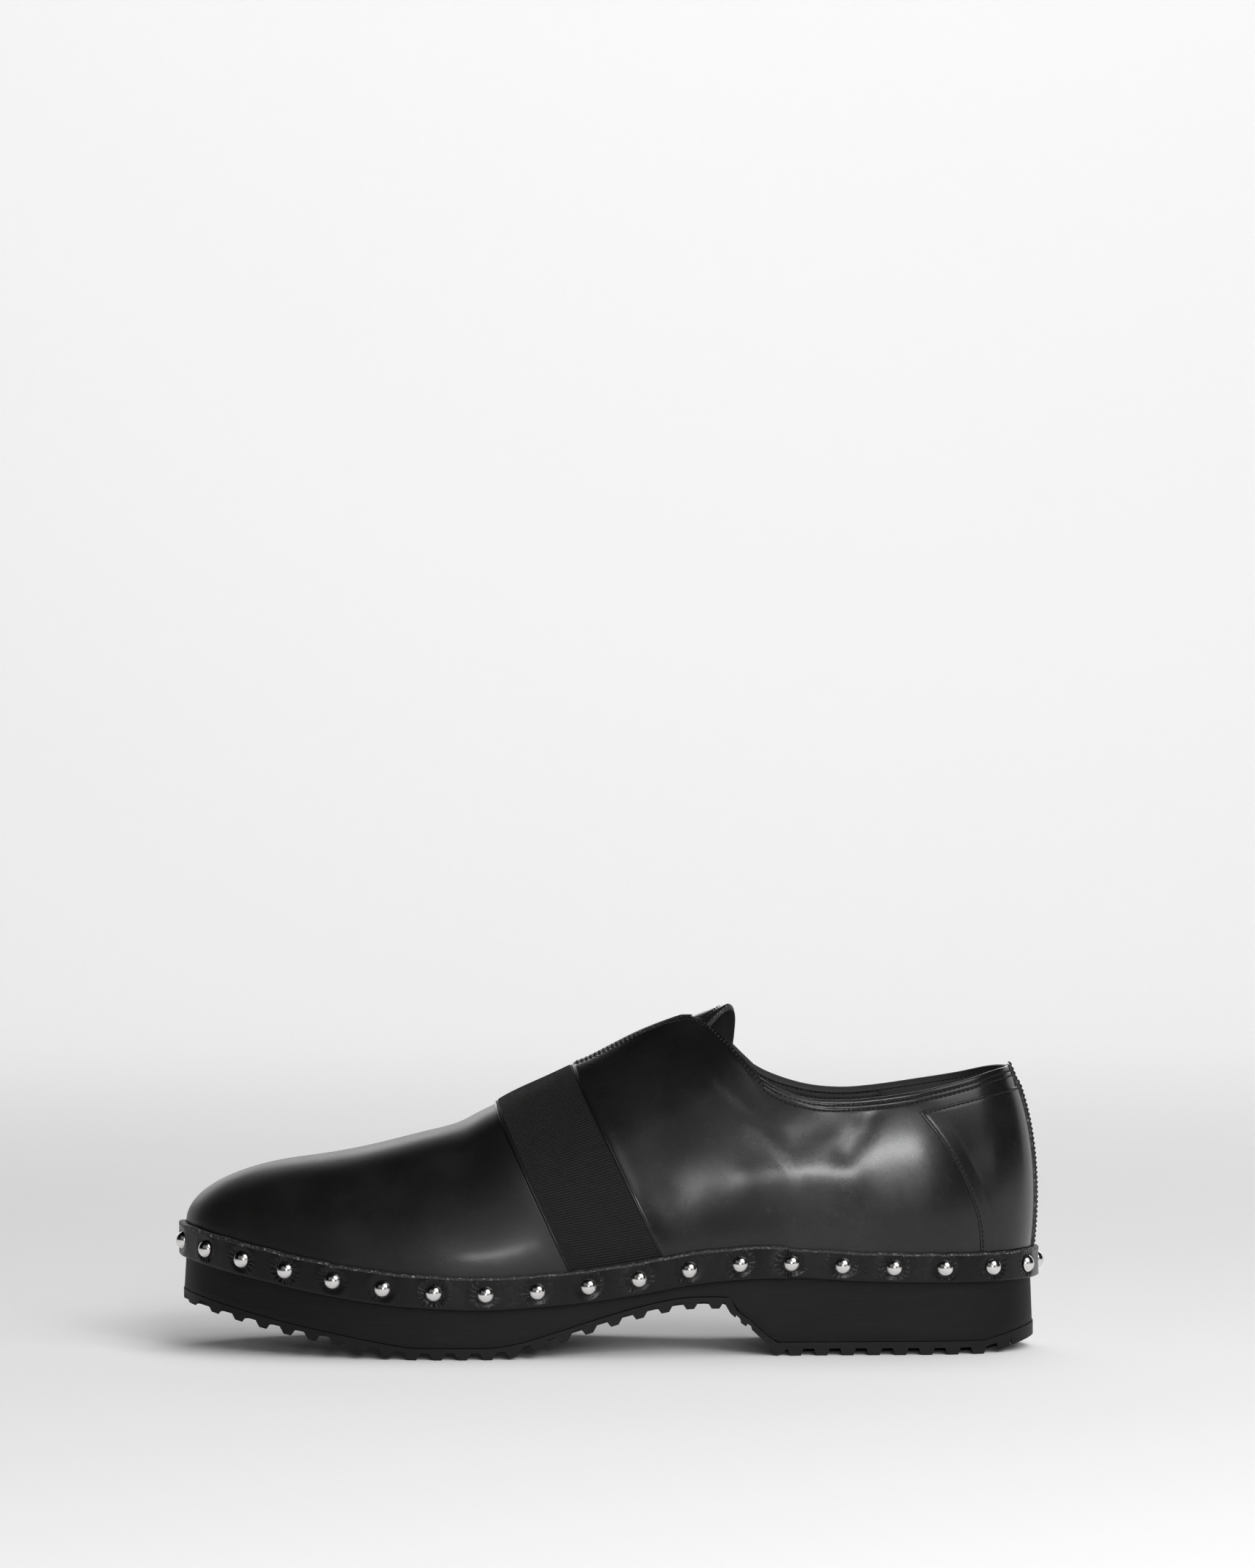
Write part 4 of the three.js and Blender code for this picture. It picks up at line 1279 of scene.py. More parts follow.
@dataclass
class Quarters:
    """Rear of the upper: both quarters in one, from the elastic round the heel and back."""

    last: Last
    gore: GoreEdges
    thickness: float = 2.4
    top_round: float = 0.6
    top_taper: float = 1.0
    front_round: float = 0.55
    front_fold: float = 0.35
    seam_rows: tuple[float, ...] = (2.0, 3.8)
    slit_front: float = 0.575
    slit_narrow: float = 3.0
    slit_wide: float = 10.0
    spacing: float = 1.5
    side_run: float = 158.0
    near_top: tuple[float, ...] = (
        0, 0.1, 0.22, 0.38, 0.6, 0.85, 1.15, 1.45, 1.75, 2.0, 2.25, 2.55, 2.9, 3.25, 3.55, 3.8, 4.05, 4.35, 4.8,
        5.6, 6.6, 8.0,
    )
    near_front: tuple[float, ...] = (0, 0.08, 0.18, 0.32, 0.5, 0.8, 1.2, 1.8, 2.6, 3.6)
    lower_rows: int = 44
    top: dict[Side, np.ndarray] = field(default_factory=dict)

    @cached_property
    def shares(self) -> np.ndarray:
        """Columns of one side, as shares of the way from the heel to the elastic."""
        count = int(self.side_run / self.spacing)
        even = np.linspace(0, 1 - self.near_front[-1] / self.side_run, count)
        return np.r_[even, 1 - np.array(self.near_front[:-1][::-1]) / self.side_run]

    def place(self, side: Side, share: np.ndarray, turn: np.ndarray) -> np.ndarray:
        """Place round the outline of a column at a turn."""
        return side.place(np.asarray(share) * self.edge[side](turn))

    @cached_property
    def edge(self) -> dict[Side, Callable[[np.ndarray], np.ndarray]]:
        """Front edge of each side."""
        return {side: self.gore.curve(side, self.gore.width) for side in Side}

    def _opening(self, points: np.ndarray) -> np.ndarray:
        """How far points are inside the opening of the collar and the slit, below zero outside it."""
        x, y, z = points[..., 0], points[..., 1], points[..., 2]
        collar = np.where(x < 0.412 * self.last.length, z - self.last.collar(x, y), -1e3)
        share = np.clip((x / self.last.length - 0.38) / (0.537 - 0.38), 0, 1.3)
        half = (self.slit_wide + (self.slit_narrow - self.slit_wide) * share) / 2
        near = (x > 0.36 * self.last.length) & (x < self.slit_front * self.last.length)
        slit = np.where(near, half - np.abs(y - self.last.lean(x)), -1e3)
        return np.maximum(collar, slit)

    def top_turns(self, side: Side) -> np.ndarray:
        """Turn at which each column meets the top edge."""
        turns = np.linspace(0.35, 1, 1400)[:, None]
        columns = self.shares[None, :]
        inside = self._opening(self.last.point(self.place(side, columns, turns), turns))
        first = np.argmax(inside > 0, axis=0)
        first = np.where((inside > 0).any(axis=0), np.maximum(first, 1), len(turns) - 1)
        i = np.arange(len(self.shares))
        below, above = inside[first - 1, i], inside[first, i]
        share = np.clip(-below / np.where(above - below == 0, 1, above - below), 0, 1)
        found = turns[first - 1, 0] + (turns[first, 0] - turns[first - 1, 0]) * share
        padded = np.pad(found, 2, mode="edge")
        weights = (1, 2, 3, 2, 1)
        smooth = sum(w * padded[k:k + len(found)] for k, w in enumerate(weights)) / sum(weights)
        keep = ease(self.shares, 0.97, 0.985)
        return smooth * (1 - keep) + found * keep

    def sheet(self, side: Side, depths: Sequence[float] | None = None) -> Sheet:
        """Grid of one side, or only the lines at given depths below the top edge.

        Args:
            side: Side of the foot.
            depths: Distances below the top edge, or None for the whole side.

        Returns:
            Sheet with rows from bottom to top and columns from heel to front.
        """
        shares = self.shares
        if side not in self.top:
            self.top[side] = self.top_turns(side)
        top = self.top[side]
        foot = self.last.bottom_turn(self.place(side, shares, np.zeros_like(shares)), 0.3)
        ways = np.linspace(0, 1, 260)[:, None]
        turns = foot + (top - foot) * ways
        points = self.last.point(self.place(side, shares, turns), turns)
        run = arc_lengths(points, 0)
        rim = points[-1]
        along = np.gradient(rim, axis=0)
        upward = points[-1] - points[-4]
        cross = np.linalg.norm(np.cross(along, upward), axis=-1)
        sine = cross / np.maximum(np.linalg.norm(along, axis=-1) * np.linalg.norm(upward, axis=-1), 1e-9)
        steep = 1 / np.clip(sine, 0.55, 1)
        steep = np.convolve(np.pad(steep, 3, mode="edge"), np.ones(7) / 7, mode="valid")
        near = np.array(self.near_top if depths is None else depths, float)
        down = near[:, None] * steep[None, :]
        if depths is None:
            far = run[-1][None, :]
            deep = np.linspace(0, 1, self.lower_rows + 1)[1:, None]
            down = np.concatenate([down, down[-1:] + (far - down[-1:]) * deep], 0)
        turn = np.empty(down.shape)
        for i in range(len(shares)):
            turn[:, i] = np.interp(run[-1, i] - down[:, i], run[:, i], turns[:, i])
        place = self.place(side, shares[None, :], turn)
        return Sheet(self.last, place[::-1], turn[::-1])

    def both(self, depths: Sequence[float] | None = None) -> tuple[Sheet, np.ndarray]:
        """Both sides in one grid.

        Args:
            depths: Distances below the top edge, or None for the whole grid.

        Returns:
            The sheet, from the front of the outer side round the heel, and which columns are outer.
        """
        outer, inner = self.sheet(Side.OUTER, depths), self.sheet(Side.INNER, depths)
        place = np.concatenate([outer.place[:, ::-1], inner.place[:, 1:]], 1)
        turn = np.concatenate([outer.turn[:, ::-1], inner.turn[:, 1:]], 1)
        count = outer.place.shape[1]
        return Sheet(self.last, place, turn), np.arange(place.shape[1]) < count

    def lift(self, sheet: Sheet, outer: np.ndarray, depth: np.ndarray) -> np.ndarray:
        """Shape of the outer face: folded edges, seam grooves and creases.

        Args:
            sheet: The grid.
            outer: Which columns are on the outer side.
            depth: Distance below the top edge at each point.

        Returns:
            Distance of the leather from the last.
        """
        run = arc_lengths(sheet.points, 1)
        front = np.minimum(run, run[:, -1:] - run)
        sides = np.broadcast_to(outer, depth.shape)
        fade = ease(depth, 1.0, 7.0)
        lift = folds(sheet.points, sides) * fade * ease(front, 3.0, 14.0)
        for row in self.seam_rows:
            lift = lift - 0.17 * bell(depth - row, 0.36)
        lift = lift + 0.08 * bell(depth - 2.9, 0.6) + 0.08 * bell(depth - 1.0, 0.7)
        lift = lift + self.front_fold * bell(front, 3.2) * ease(sheet.turn, 0.0, 0.12)
        return lift + rounding(depth, self.top_round) + rounding(front, self.front_round)

    def build(self) -> bpy.types.Object:
        """Builds the quarters."""
        sheet, outer = self.both()
        rise = arc_lengths(sheet.points, 0)
        depth = rise[-1:] - rise
        outside = self.lift(sheet, outer, depth)
        inside = -self.thickness - rounding(depth, 0.3) + self.top_taper * bell(depth, 2.6)
        draft = Draft()
        sheet.slab(draft, outside, inside, (0, 1, 2))
        piece = draft.piece("quarters", [CALF, LINING, TOPLINE], 60)
        return settle(piece, Slot.UPPER, "upper")

    def seam(self, depth: float, offset: float) -> tuple[np.ndarray, np.ndarray]:
        """Line of a seam below the top edge.

        Args:
            depth: Distance below the edge.
            offset: Distance from the last, below zero inside.

        Returns:
            Points and outward directions.
        """
        sheet, outer = self.both([depth])
        run = arc_lengths(sheet.points, 1)
        front = np.minimum(run, run[:, -1:] - run)
        fold = self.front_fold * bell(front, 3.2) if offset > -1 else 0.0
        points = sheet.lifted(offset + fold)[0]
        keep = (front[0] > 1.2)
        facing = sheet.normals[0] if offset > -1 else -sheet.normals[0]
        return points[keep], facing[keep]


@dataclass
class Vamp:
    """Front of the upper with the bed under the elastic, drawn over the crest from side to side."""

    last: Last
    gore: GoreEdges
    thickness: float = 2.4
    bed: float = 1.7
    edge_round: float = 0.6
    fold: float = -0.12
    crest_dip: float = 0.6
    rows_a_side: int = 46
    columns: int = 84

    def build(self) -> bpy.types.Object:
        """Builds the vamp."""
        ways = np.linspace(0, 1, self.rows_a_side)
        near = np.array([0, 0.08, 0.18, 0.32, 0.5, 0.8, 1.2, 1.8, 2.6, 3.6]) / 120
        shares = np.r_[near, near[-1] + (1 - near[-1]) * np.linspace(0, 1, self.columns)[1:]]
        bed = np.linspace(self.gore.width + 0.4, 0.02, 15)
        places, turns = [], []
        for side in Side:
            foot = self.last.bottom_turn(np.full(1, 0.3), 0.3)[0]
            turn = foot + (1 - foot) * ways
            edge = self.gore.half(side, turn, 0.0)
            halves = [self.gore.half(side, turn, float(back)) for back in bed]
            halves += [edge + (0.5 - edge) * share for share in shares]
            half = np.stack(halves, 1)
            places.append(side.place(half))
            turns.append(np.broadcast_to(turn[:, None], half.shape))
        place = np.concatenate([places[0], places[1][::-1][1:]], 0)
        turn = np.concatenate([turns[0], turns[1][::-1][1:]], 0)
        sheet = Sheet(self.last, place, turn)
        count = len(bed)
        run = arc_lengths(sheet.points, 1)
        front = run - run[:, count:count + 1]
        outer = np.broadcast_to((np.arange(place.shape[0]) < self.rows_a_side)[:, None], place.shape)
        above = ease(sheet.turn, 0.0, 0.12)
        outside = folds(sheet.points, outer) * ease(front, 1, 9)
        outside = outside + self.fold * bell(front, 2.6) * above + rounding(np.maximum(front, 0), self.edge_round)
        outside = outside - self.crest_dip * bell(front, 5.0) * ease(sheet.turn, 0.5, 0.95)
        outside[:, :count] = -self.bed
        toe = sheet.normals.copy()
        middle = (toe[:, -1] + toe[::-1, -1]) / 2
        toe[:, -1] = middle / np.linalg.norm(middle, axis=-1, keepdims=True)
        sheet.normals = toe
        outside[:, -1] = (outside[:, -1] + outside[::-1, -1]) / 2
        draft = Draft()
        sheet.slab(draft, outside, -self.thickness, (0, 1, 0), open_end=True)
        return settle(draft.piece("vamp", [VAMP_CALF, LINING], 60), Slot.UPPER, "upper")


@dataclass
class Elastic:
    """Elastic strip with its ribs and corded edges."""

    last: Last
    gore: GoreEdges
    offset: float = -0.2
    thickness: float = 0.9
    rib_pitch: float = 0.95
    rib_radius: float = 0.31
    margin: float = 1.3
    cord_radius: float = 0.34

    def line(self, side: Side, turn: np.ndarray, backs: np.ndarray) -> np.ndarray:
        """Places round the outline across the strip."""
        return side.place(np.stack([self.gore.half(side, turn, float(back)) for back in backs], 1))

    def grid(self, backs: np.ndarray, rows: int) -> Sheet:
        """Grid over the crest from side to side."""
        foot = self.last.bottom_turn(np.full(1, 0.3), 0.5)[0]
        turn = foot + (1 - foot) * np.linspace(0, 1, rows)
        place = np.concatenate(
            [self.line(Side.OUTER, turn, backs), self.line(Side.INNER, turn, backs)[::-1][1:]], 0
        )
        turn = np.concatenate([turn, turn[::-1][1:]])
        return Sheet(self.last, place, np.broadcast_to(turn[:, None], place.shape))

    def build(self) -> list[bpy.types.Object]:
        """Builds the strip, its ribs and its edges."""
        sheet = self.grid(np.linspace(self.gore.width, 0, 16), 60)
        draft = Draft()
        sheet.slab(draft, self.offset, self.offset - self.thickness, (0, 0, 0))
        # The strip takes the darker weave: painted shade where it shows between the ribs.
        strip = settle(draft.piece("elastic_strip", [ELASTIC]), Slot.ELASTIC, "elastic_gore")
        return [strip, self.ribs(), self.edges()]

    def ribs(self) -> bpy.types.Object:
        """Ribs across the strip, one for each covered thread."""
        backs = np.linspace(self.gore.width - self.margin, self.margin, 12)
        sheet = self.grid(backs, 400)
        run = arc_lengths(sheet.points, 0)[:, len(backs) // 2]
        count = int(run[-1] / self.rib_pitch)
        lines = Lines()
        points, normals = sheet.lifted(self.offset + 0.05), sheet.normals
        for i in range(count):
            at = (i + 0.5) * self.rib_pitch
            row = min(int(np.searchsorted(run, at)), len(run) - 1)
            share = (at - run[row - 1]) / (run[row] - run[row - 1]) if row else 0.0
            mixed = points[row - 1] * (1 - share) + points[row] * share
            lines.add(mixed, normals[row])
        # The ribs take the lighter copy of the weave, so that the strip between them shows as painted shade.
        tree = cord_tree("elastic_ribs_tree", self.rib_radius, 6, RIBS)
        return settle(tree.grow("elastic_ribs", lines, RIBS), Slot.ELASTIC)

    def edges(self) -> bpy.types.Object:
        """Thin corded seam along both edges of the strip."""
        lines = Lines()
        for back in (self.gore.width - 0.1, 0.1):
            sheet = self.grid(np.array([back, back]), 110)
            lines.add(sheet.lifted(-0.05)[:, 0], sheet.normals[:, 0])
        tree = cord_tree("elastic_edge_tree", self.cord_radius, 8, CALF)
        return settle(tree.grow("elastic_edge_cord", lines, CALF), Slot.UPPER)


@dataclass
class Counter:
    """Leather overlay round the heel."""

    last: Last
    proud: float = 0.5
    inside: float = -0.3
    edge_round: float = 0.45
    seam_inset: float = 0.95
    clearance: float = 0.25
    rand_half: float = 5.1
    columns: int = 60
    rows: int = 46

    def front(self, side: Side, turn: np.ndarray) -> np.ndarray:
        """Place of the front edge, counted from the heel along a side."""
        edge = smooth_curve(COUNTER_FRONT_ROWS)

        def over(half: np.ndarray) -> np.ndarray:
            """Distance still to go toward the toe."""
            points = self.last.point(side.place(half), turn)
            height = (points[..., 2] - self.last.platform) / self.last.collar_rise
            return edge(height) * self.last.length - points[..., 0]

        return bisect(over, np.full(turn.shape, 0.004), np.full(turn.shape, 0.3))

    def sheet(self) -> Sheet:
        """Grid from the front edge of the outer side round the heel to that of the inner side."""
        top_line = smooth_curve(COUNTER_TOP_ROWS)
        near = np.array([0, 0.08, 0.2, 0.4, 0.7, 1.1, 1.6, 2.2]) / 45
        shares = np.r_[np.linspace(0, 1 - near[-1], self.columns), 1 - near[:-1][::-1]]
        down = np.r_[0, 0.08, 0.2, 0.4, 0.7, 1.1, 1.6, 2.2]
        sheets = []
        for side in Side:
            turns = np.linspace(-0.1, 0.98, 500)
            edge = self.front(side, turns)
            grid = np.broadcast_to(turns[:, None], (len(turns), len(shares)))
            half = shares[None, :] * np.interp(grid, turns, edge)
            points = self.last.point(side.place(half), grid)
            height = points[..., 2] - self.last.platform
            over = height - top_line(points[..., 0] / self.last.length) * self.last.collar_rise
            low = points[..., 2] - self.last.foot(points[..., 0]) - self.rand_half - self.clearance
            place, turn = [], []
            for i in range(len(shares)):
                run = arc_lengths(points[:, i])
                top = np.interp(0, over[:, i], run)
                bottom = np.interp(0, low[:, i], run)
                levels = np.r_[np.linspace(bottom, top - down[-1], self.rows), top - down[:-1][::-1]]
                at = np.interp(levels, run, turns)
                turn.append(at)
                place.append(shares[i] * np.interp(at, turns, edge))
            half, turn = np.stack(place, 1), np.stack(turn, 1)
            sheets.append((side.place(half), turn))
        place = np.concatenate([sheets[0][0][:, ::-1], sheets[1][0][:, 1:]], 1)
        turn = np.concatenate([sheets[0][1][:, ::-1], sheets[1][1][:, 1:]], 1)
        return Sheet(self.last, place, turn)

    def build(self) -> bpy.types.Object:
        """Builds the counter."""
        sheet = self.sheet()
        run = arc_lengths(sheet.points, 1)
        rise = arc_lengths(sheet.points, 0)
        front = np.minimum(run, run[:, -1:] - run)
        depth = rise[-1:] - rise
        near = np.minimum(front, depth)
        lift = self.proud + rounding(near, self.edge_round) - 0.12 * bell(near - self.seam_inset, 0.35)
        lift = lift + 0.12 * bell(front - 5.2, 0.9) * ease(depth, 3, 9)
        draft = Draft()
        sheet.slab(draft, lift, self.inside, (0, 0, 1))
        return settle(draft.piece("heel_counter_leather", [COUNTER_CALF, EDGE], 60), Slot.UPPER, "heel_counter")

    def seams(self) -> list[tuple[np.ndarray, np.ndarray]]:
        """Seam lines along the front and top edges of the counter."""
        sheet = self.sheet()
        points, normals = sheet.lifted(self.proud - 0.04), sheet.normals
        rise = arc_lengths(sheet.points, 0)
        run = arc_lengths(sheet.points, 1)
        made = []
        for flip in (False, True):
            at, way, up, out = points, normals, rise, run
            if flip:
                at, way, up = points[:, ::-1], normals[:, ::-1], rise[:, ::-1]
                out = (run[:, -1:] - run)[:, ::-1]
            inset = self.seam_inset
            front = crossing(inset, out, at)
            facing = way[:, 7]
            keep = (up[-1, 8] - up[:, 8]) > inset
            made.append((front[keep], facing[keep]))
        from_top = (rise - rise[-1:]).T
        top = crossing(-self.seam_inset, from_top, points.swapaxes(0, 1))
        keep = np.minimum(run[-8], run[-8, -1] - run[-8]) > 1.4
        made.append((top[keep], normals[-8][keep]))
        return made


@dataclass
class BackStrip:
    """Narrow strip over the seam at the back of the heel."""

    last: Last
    width: float = 7.5
    inside: float = -0.15
    outside: float = 0.85
    over_counter: float = 0.56
    seam_inset: float = 1.05
    rand_half: float = 5.1
    clearance: float = 0.3

    def base(self, sheet: Sheet) -> np.ndarray:
        """Lift of the strip where it lies on the counter."""
        share = (sheet.points[..., 2] - self.last.platform) / self.last.collar_rise
        return self.over_counter * (1 - ease(share, 0.905, 0.93))

    def sheet(self) -> Sheet:
        """Grid from the outer edge to the inner edge."""
        turns = np.linspace(-0.05, 0.9, 300)
        edges = {}
        for side in Side:
            def over(half: np.ndarray) -> np.ndarray:
                """Width still to go."""
                return self.width / 2 - np.abs(self.last.point(side.place(half), turns)[..., 1])

            edges[side] = bisect(over, np.zeros_like(turns), np.full_like(turns, 0.08))
        points = self.last.point(np.zeros_like(turns), turns)
        run = arc_lengths(points)
        low = points[:, 2] - self.last.foot(points[:, 0]) - self.rand_half - self.clearance
        high = points[:, 2] - self.last.collar(points[:, 0], points[:, 1])
        bottom, top = np.interp(0, low, run), np.interp(0, high, run)
        near = np.array([0, 0.1, 0.25, 0.5, 0.9])
        level = np.interp(np.r_[np.linspace(bottom, top - 0.9, 44), top - near[:-1][::-1]], run, turns)
        across = np.r_[1, 0.985, 0.95, 0.88, 0.75, 0.55, 0.3]
        outer = across[None, :] * np.interp(level, turns, edges[Side.OUTER])[:, None]
        inner = -(across[::-1][None, :] * np.interp(level, turns, edges[Side.INNER])[:, None])
        place = np.concatenate([outer, np.zeros((len(level), 1)), inner], 1)
        return Sheet(self.last, place, np.broadcast_to(level[:, None], place.shape))

    def build(self) -> bpy.types.Object:
        """Builds the strip."""
        sheet = self.sheet()
        run = arc_lengths(sheet.points, 1)
        rise = arc_lengths(sheet.points, 0)
        depth = rise[-1:] - rise
        side = np.minimum(run, run[:, -1:] - run)
        lift = self.base(sheet) + self.outside + rounding(side, 0.4) - 0.12 * bell(side - 1.1, 0.3)
        lift = lift + rounding(depth, 0.9)
        draft = Draft()
        sheet.slab(draft, lift, self.base(sheet) + self.inside, (0, 0, 1))
        return settle(draft.piece("back_strip_leather", [COUNTER_CALF, EDGE], 60), Slot.UPPER, "back_strip")

    def seams(self) -> list[tuple[np.ndarray, np.ndarray]]:
        """Seam lines along both edges of the strip."""
        sheet = self.sheet()
        points, normals = sheet.lifted(self.base(sheet) + self.outside), sheet.normals
        made = []
        for columns in (slice(None), slice(None, None, -1)):
            at = points[:, columns]
            run = arc_lengths(at, 1)
            line = crossing(self.seam_inset, run, at)
            made.append((line[1:-1], normals[:, columns][1:-1, 3]))
        return made


@dataclass
class Tongue:
    """Tongue under the facings, with a thick skewed end above the collar."""

    last: Last
    outside: float = -2.75
    thickness: float = 2.3
    edge_round: float = 0.4
    steps: int = 150
    insets: tuple[float, ...] = (0, 0.12, 0.3, 0.55, 0.9, 1.4, 2.0, 2.6, 3.0, 3.4, 4.2, 5.6, 7.6, 10.0, 13.0)

    def outline(self) -> np.ndarray:
        """Rounded outline in plan."""
        table = np.asarray(TONGUE_ROWS, float) * np.array([self.last.length, self.last.ball_width / 2])
        count = len(table)
        made = []
        for i in range(count - 1):
            a, b, c, d = (table[np.clip(i + k, 0, count - 1)] for k in (-1, 0, 1, 2))
            for u in np.linspace(0, 1, 24, endpoint=False):
                made.append(b + 0.5 * u * (c - a + u * (2 * a - 5 * b + 4 * c - d + u * (3 * (b - c) + d - a))))
        line = np.array(made + [table[-1]])
        run = arc_lengths(line)
        levels = np.linspace(0, run[-1], self.steps)
        return np.stack([np.interp(levels, run, line[:, k]) for k in range(2)], 1)

    def sheet(self) -> tuple[Sheet, np.ndarray]:
        """Grid of rings from the outline to the middle, and each ring's distance from the edge."""
        rim = self.outline()
        along = np.gradient(rim, axis=0)
        inward = np.stack([-along[:, 1], along[:, 0]], 1)
        inward /= np.linalg.norm(inward, axis=1, keepdims=True)
        middle = np.stack([np.clip(rim[:, 0], 122, 186), np.full(len(rim), -3.2)], 1)
        toward = middle - rim
        if (inward * toward).sum() < 0:
            inward = -inward
        rings = []
        for inset in self.insets:
            share = ease(np.array(inset), 2.0, 16.0)
            rings.append((rim + inward * inset) * (1 - share) + (rim + toward * min(inset / 16, 1)) * share)
        rings.append(rim + toward * 0.93)
        rings.append(middle)
        plan = np.stack(rings)
        place, turn = self.last.from_plan(plan[..., 0], plan[..., 1], self.outside)
        depth = np.array([*self.insets, 16.0, 18.0])[:, None] * np.ones((1, plan.shape[1]))
        return Sheet(self.last, place, turn), depth

    def build(self) -> bpy.types.Object:
        """Builds the tongue."""
        sheet, depth = self.sheet()
        outside = self.outside + rounding(depth, self.edge_round) - 0.14 * bell(depth - 3.0, 0.4)
        inside = self.outside - self.thickness - rounding(depth, self.edge_round) + 0.12 * bell(depth - 3.0, 0.4)
        draft = Draft()
        sheet.slab(draft, outside, inside, (0, 1, 2))
        piece = draft.piece("tongue_leather", [CALF, LINING, EDGE], 50, weld=4e-5)
        return settle(piece, Slot.UPPER, "tongue")

    def seam(self) -> tuple[np.ndarray, np.ndarray]:
        """Seam line round the end of the tongue."""
        sheet, _ = self.sheet()
        row = self.insets.index(3.0)
        points = sheet.lifted(self.outside - 0.12)[row]
        keep = points[:, 0] < 150
        return points[keep], sheet.normals[row][keep]


@dataclass
class Inside:
    """Footbed and heel grip inside the upper."""

    last: Last
    wall: float = 2.4
    gap: float = 0.3
    footbed: float = 3.0
    grip_front: float = 44.0

    def footbed_piece(self) -> bpy.types.Object:
        """Builds the footbed with a softly dished top."""
        count = 300
        places = np.linspace(0, 1, count, endpoint=False)
        turned = (-np.arange(count)) % count
        insets = [(0.0, self.gap), (0.0, self.gap + self.footbed - 0.8), (0.25, self.gap + self.footbed - 0.25),
                  (0.8, self.gap + self.footbed)]
        wall = self.wall + self.gap
        rings = [self.last.rim(places, np.full(count, -wall - i), np.full(count, z)) for i, z in insets]
        edge = rings[-1]
        mirror = edge[turned]
        for share in (0.12, 0.3, 0.6, 0.85, 1.0):
            middle = (edge + mirror) / 2
            middle[:, 0] = np.clip(middle[:, 0], 12, 280)
            ring = edge + (middle - edge) * share
            ring[:, 2] = self.last.foot(ring[:, 0]) + self.gap + self.footbed - 0.7 * ease(np.array(share), 0, 1)
            rings.append(ring)
        low = rings[0].copy()
        draft = Draft()
        index = draft.add(np.stack(rings))
        draft.grid(index, 0, closed=True)
        middle = (low + low[turned]) / 2
        middle[:, 2] = self.last.foot(middle[:, 0]) + self.gap
        base = draft.add(np.stack([low, middle]))
        draft.grid(base, 0, closed=True)
        piece = draft.piece("footbed", [FOOTBED], 60, weld=2e-5)
        return settle(piece, Slot.LINING, "insole")

    def grip_piece(self, quarters: Quarters) -> bpy.types.Object:
        """Builds the soft patch inside the heel."""
        sheet, _ = quarters.both(list(np.linspace(2.0, 34.0, 24)))
        keep = sheet.points[0, :, 0] < self.grip_front
        part = Sheet(self.last, sheet.place[:, keep], sheet.turn[:, keep])
        run = arc_lengths(part.points, 1)
        rise = arc_lengths(part.points, 0)
        near = np.minimum(np.minimum(run, run[:, -1:] - run), np.minimum(rise, rise[-1:] - rise))
        draft = Draft()
        part.slab(draft, -self.wall + 0.05, -self.wall - 0.7 - rounding(near, 0.5), (0, 0, 0))
        return settle(draft.piece("heel_grip", [GRIP], 60), Slot.LINING)


# Rand, studs and sole


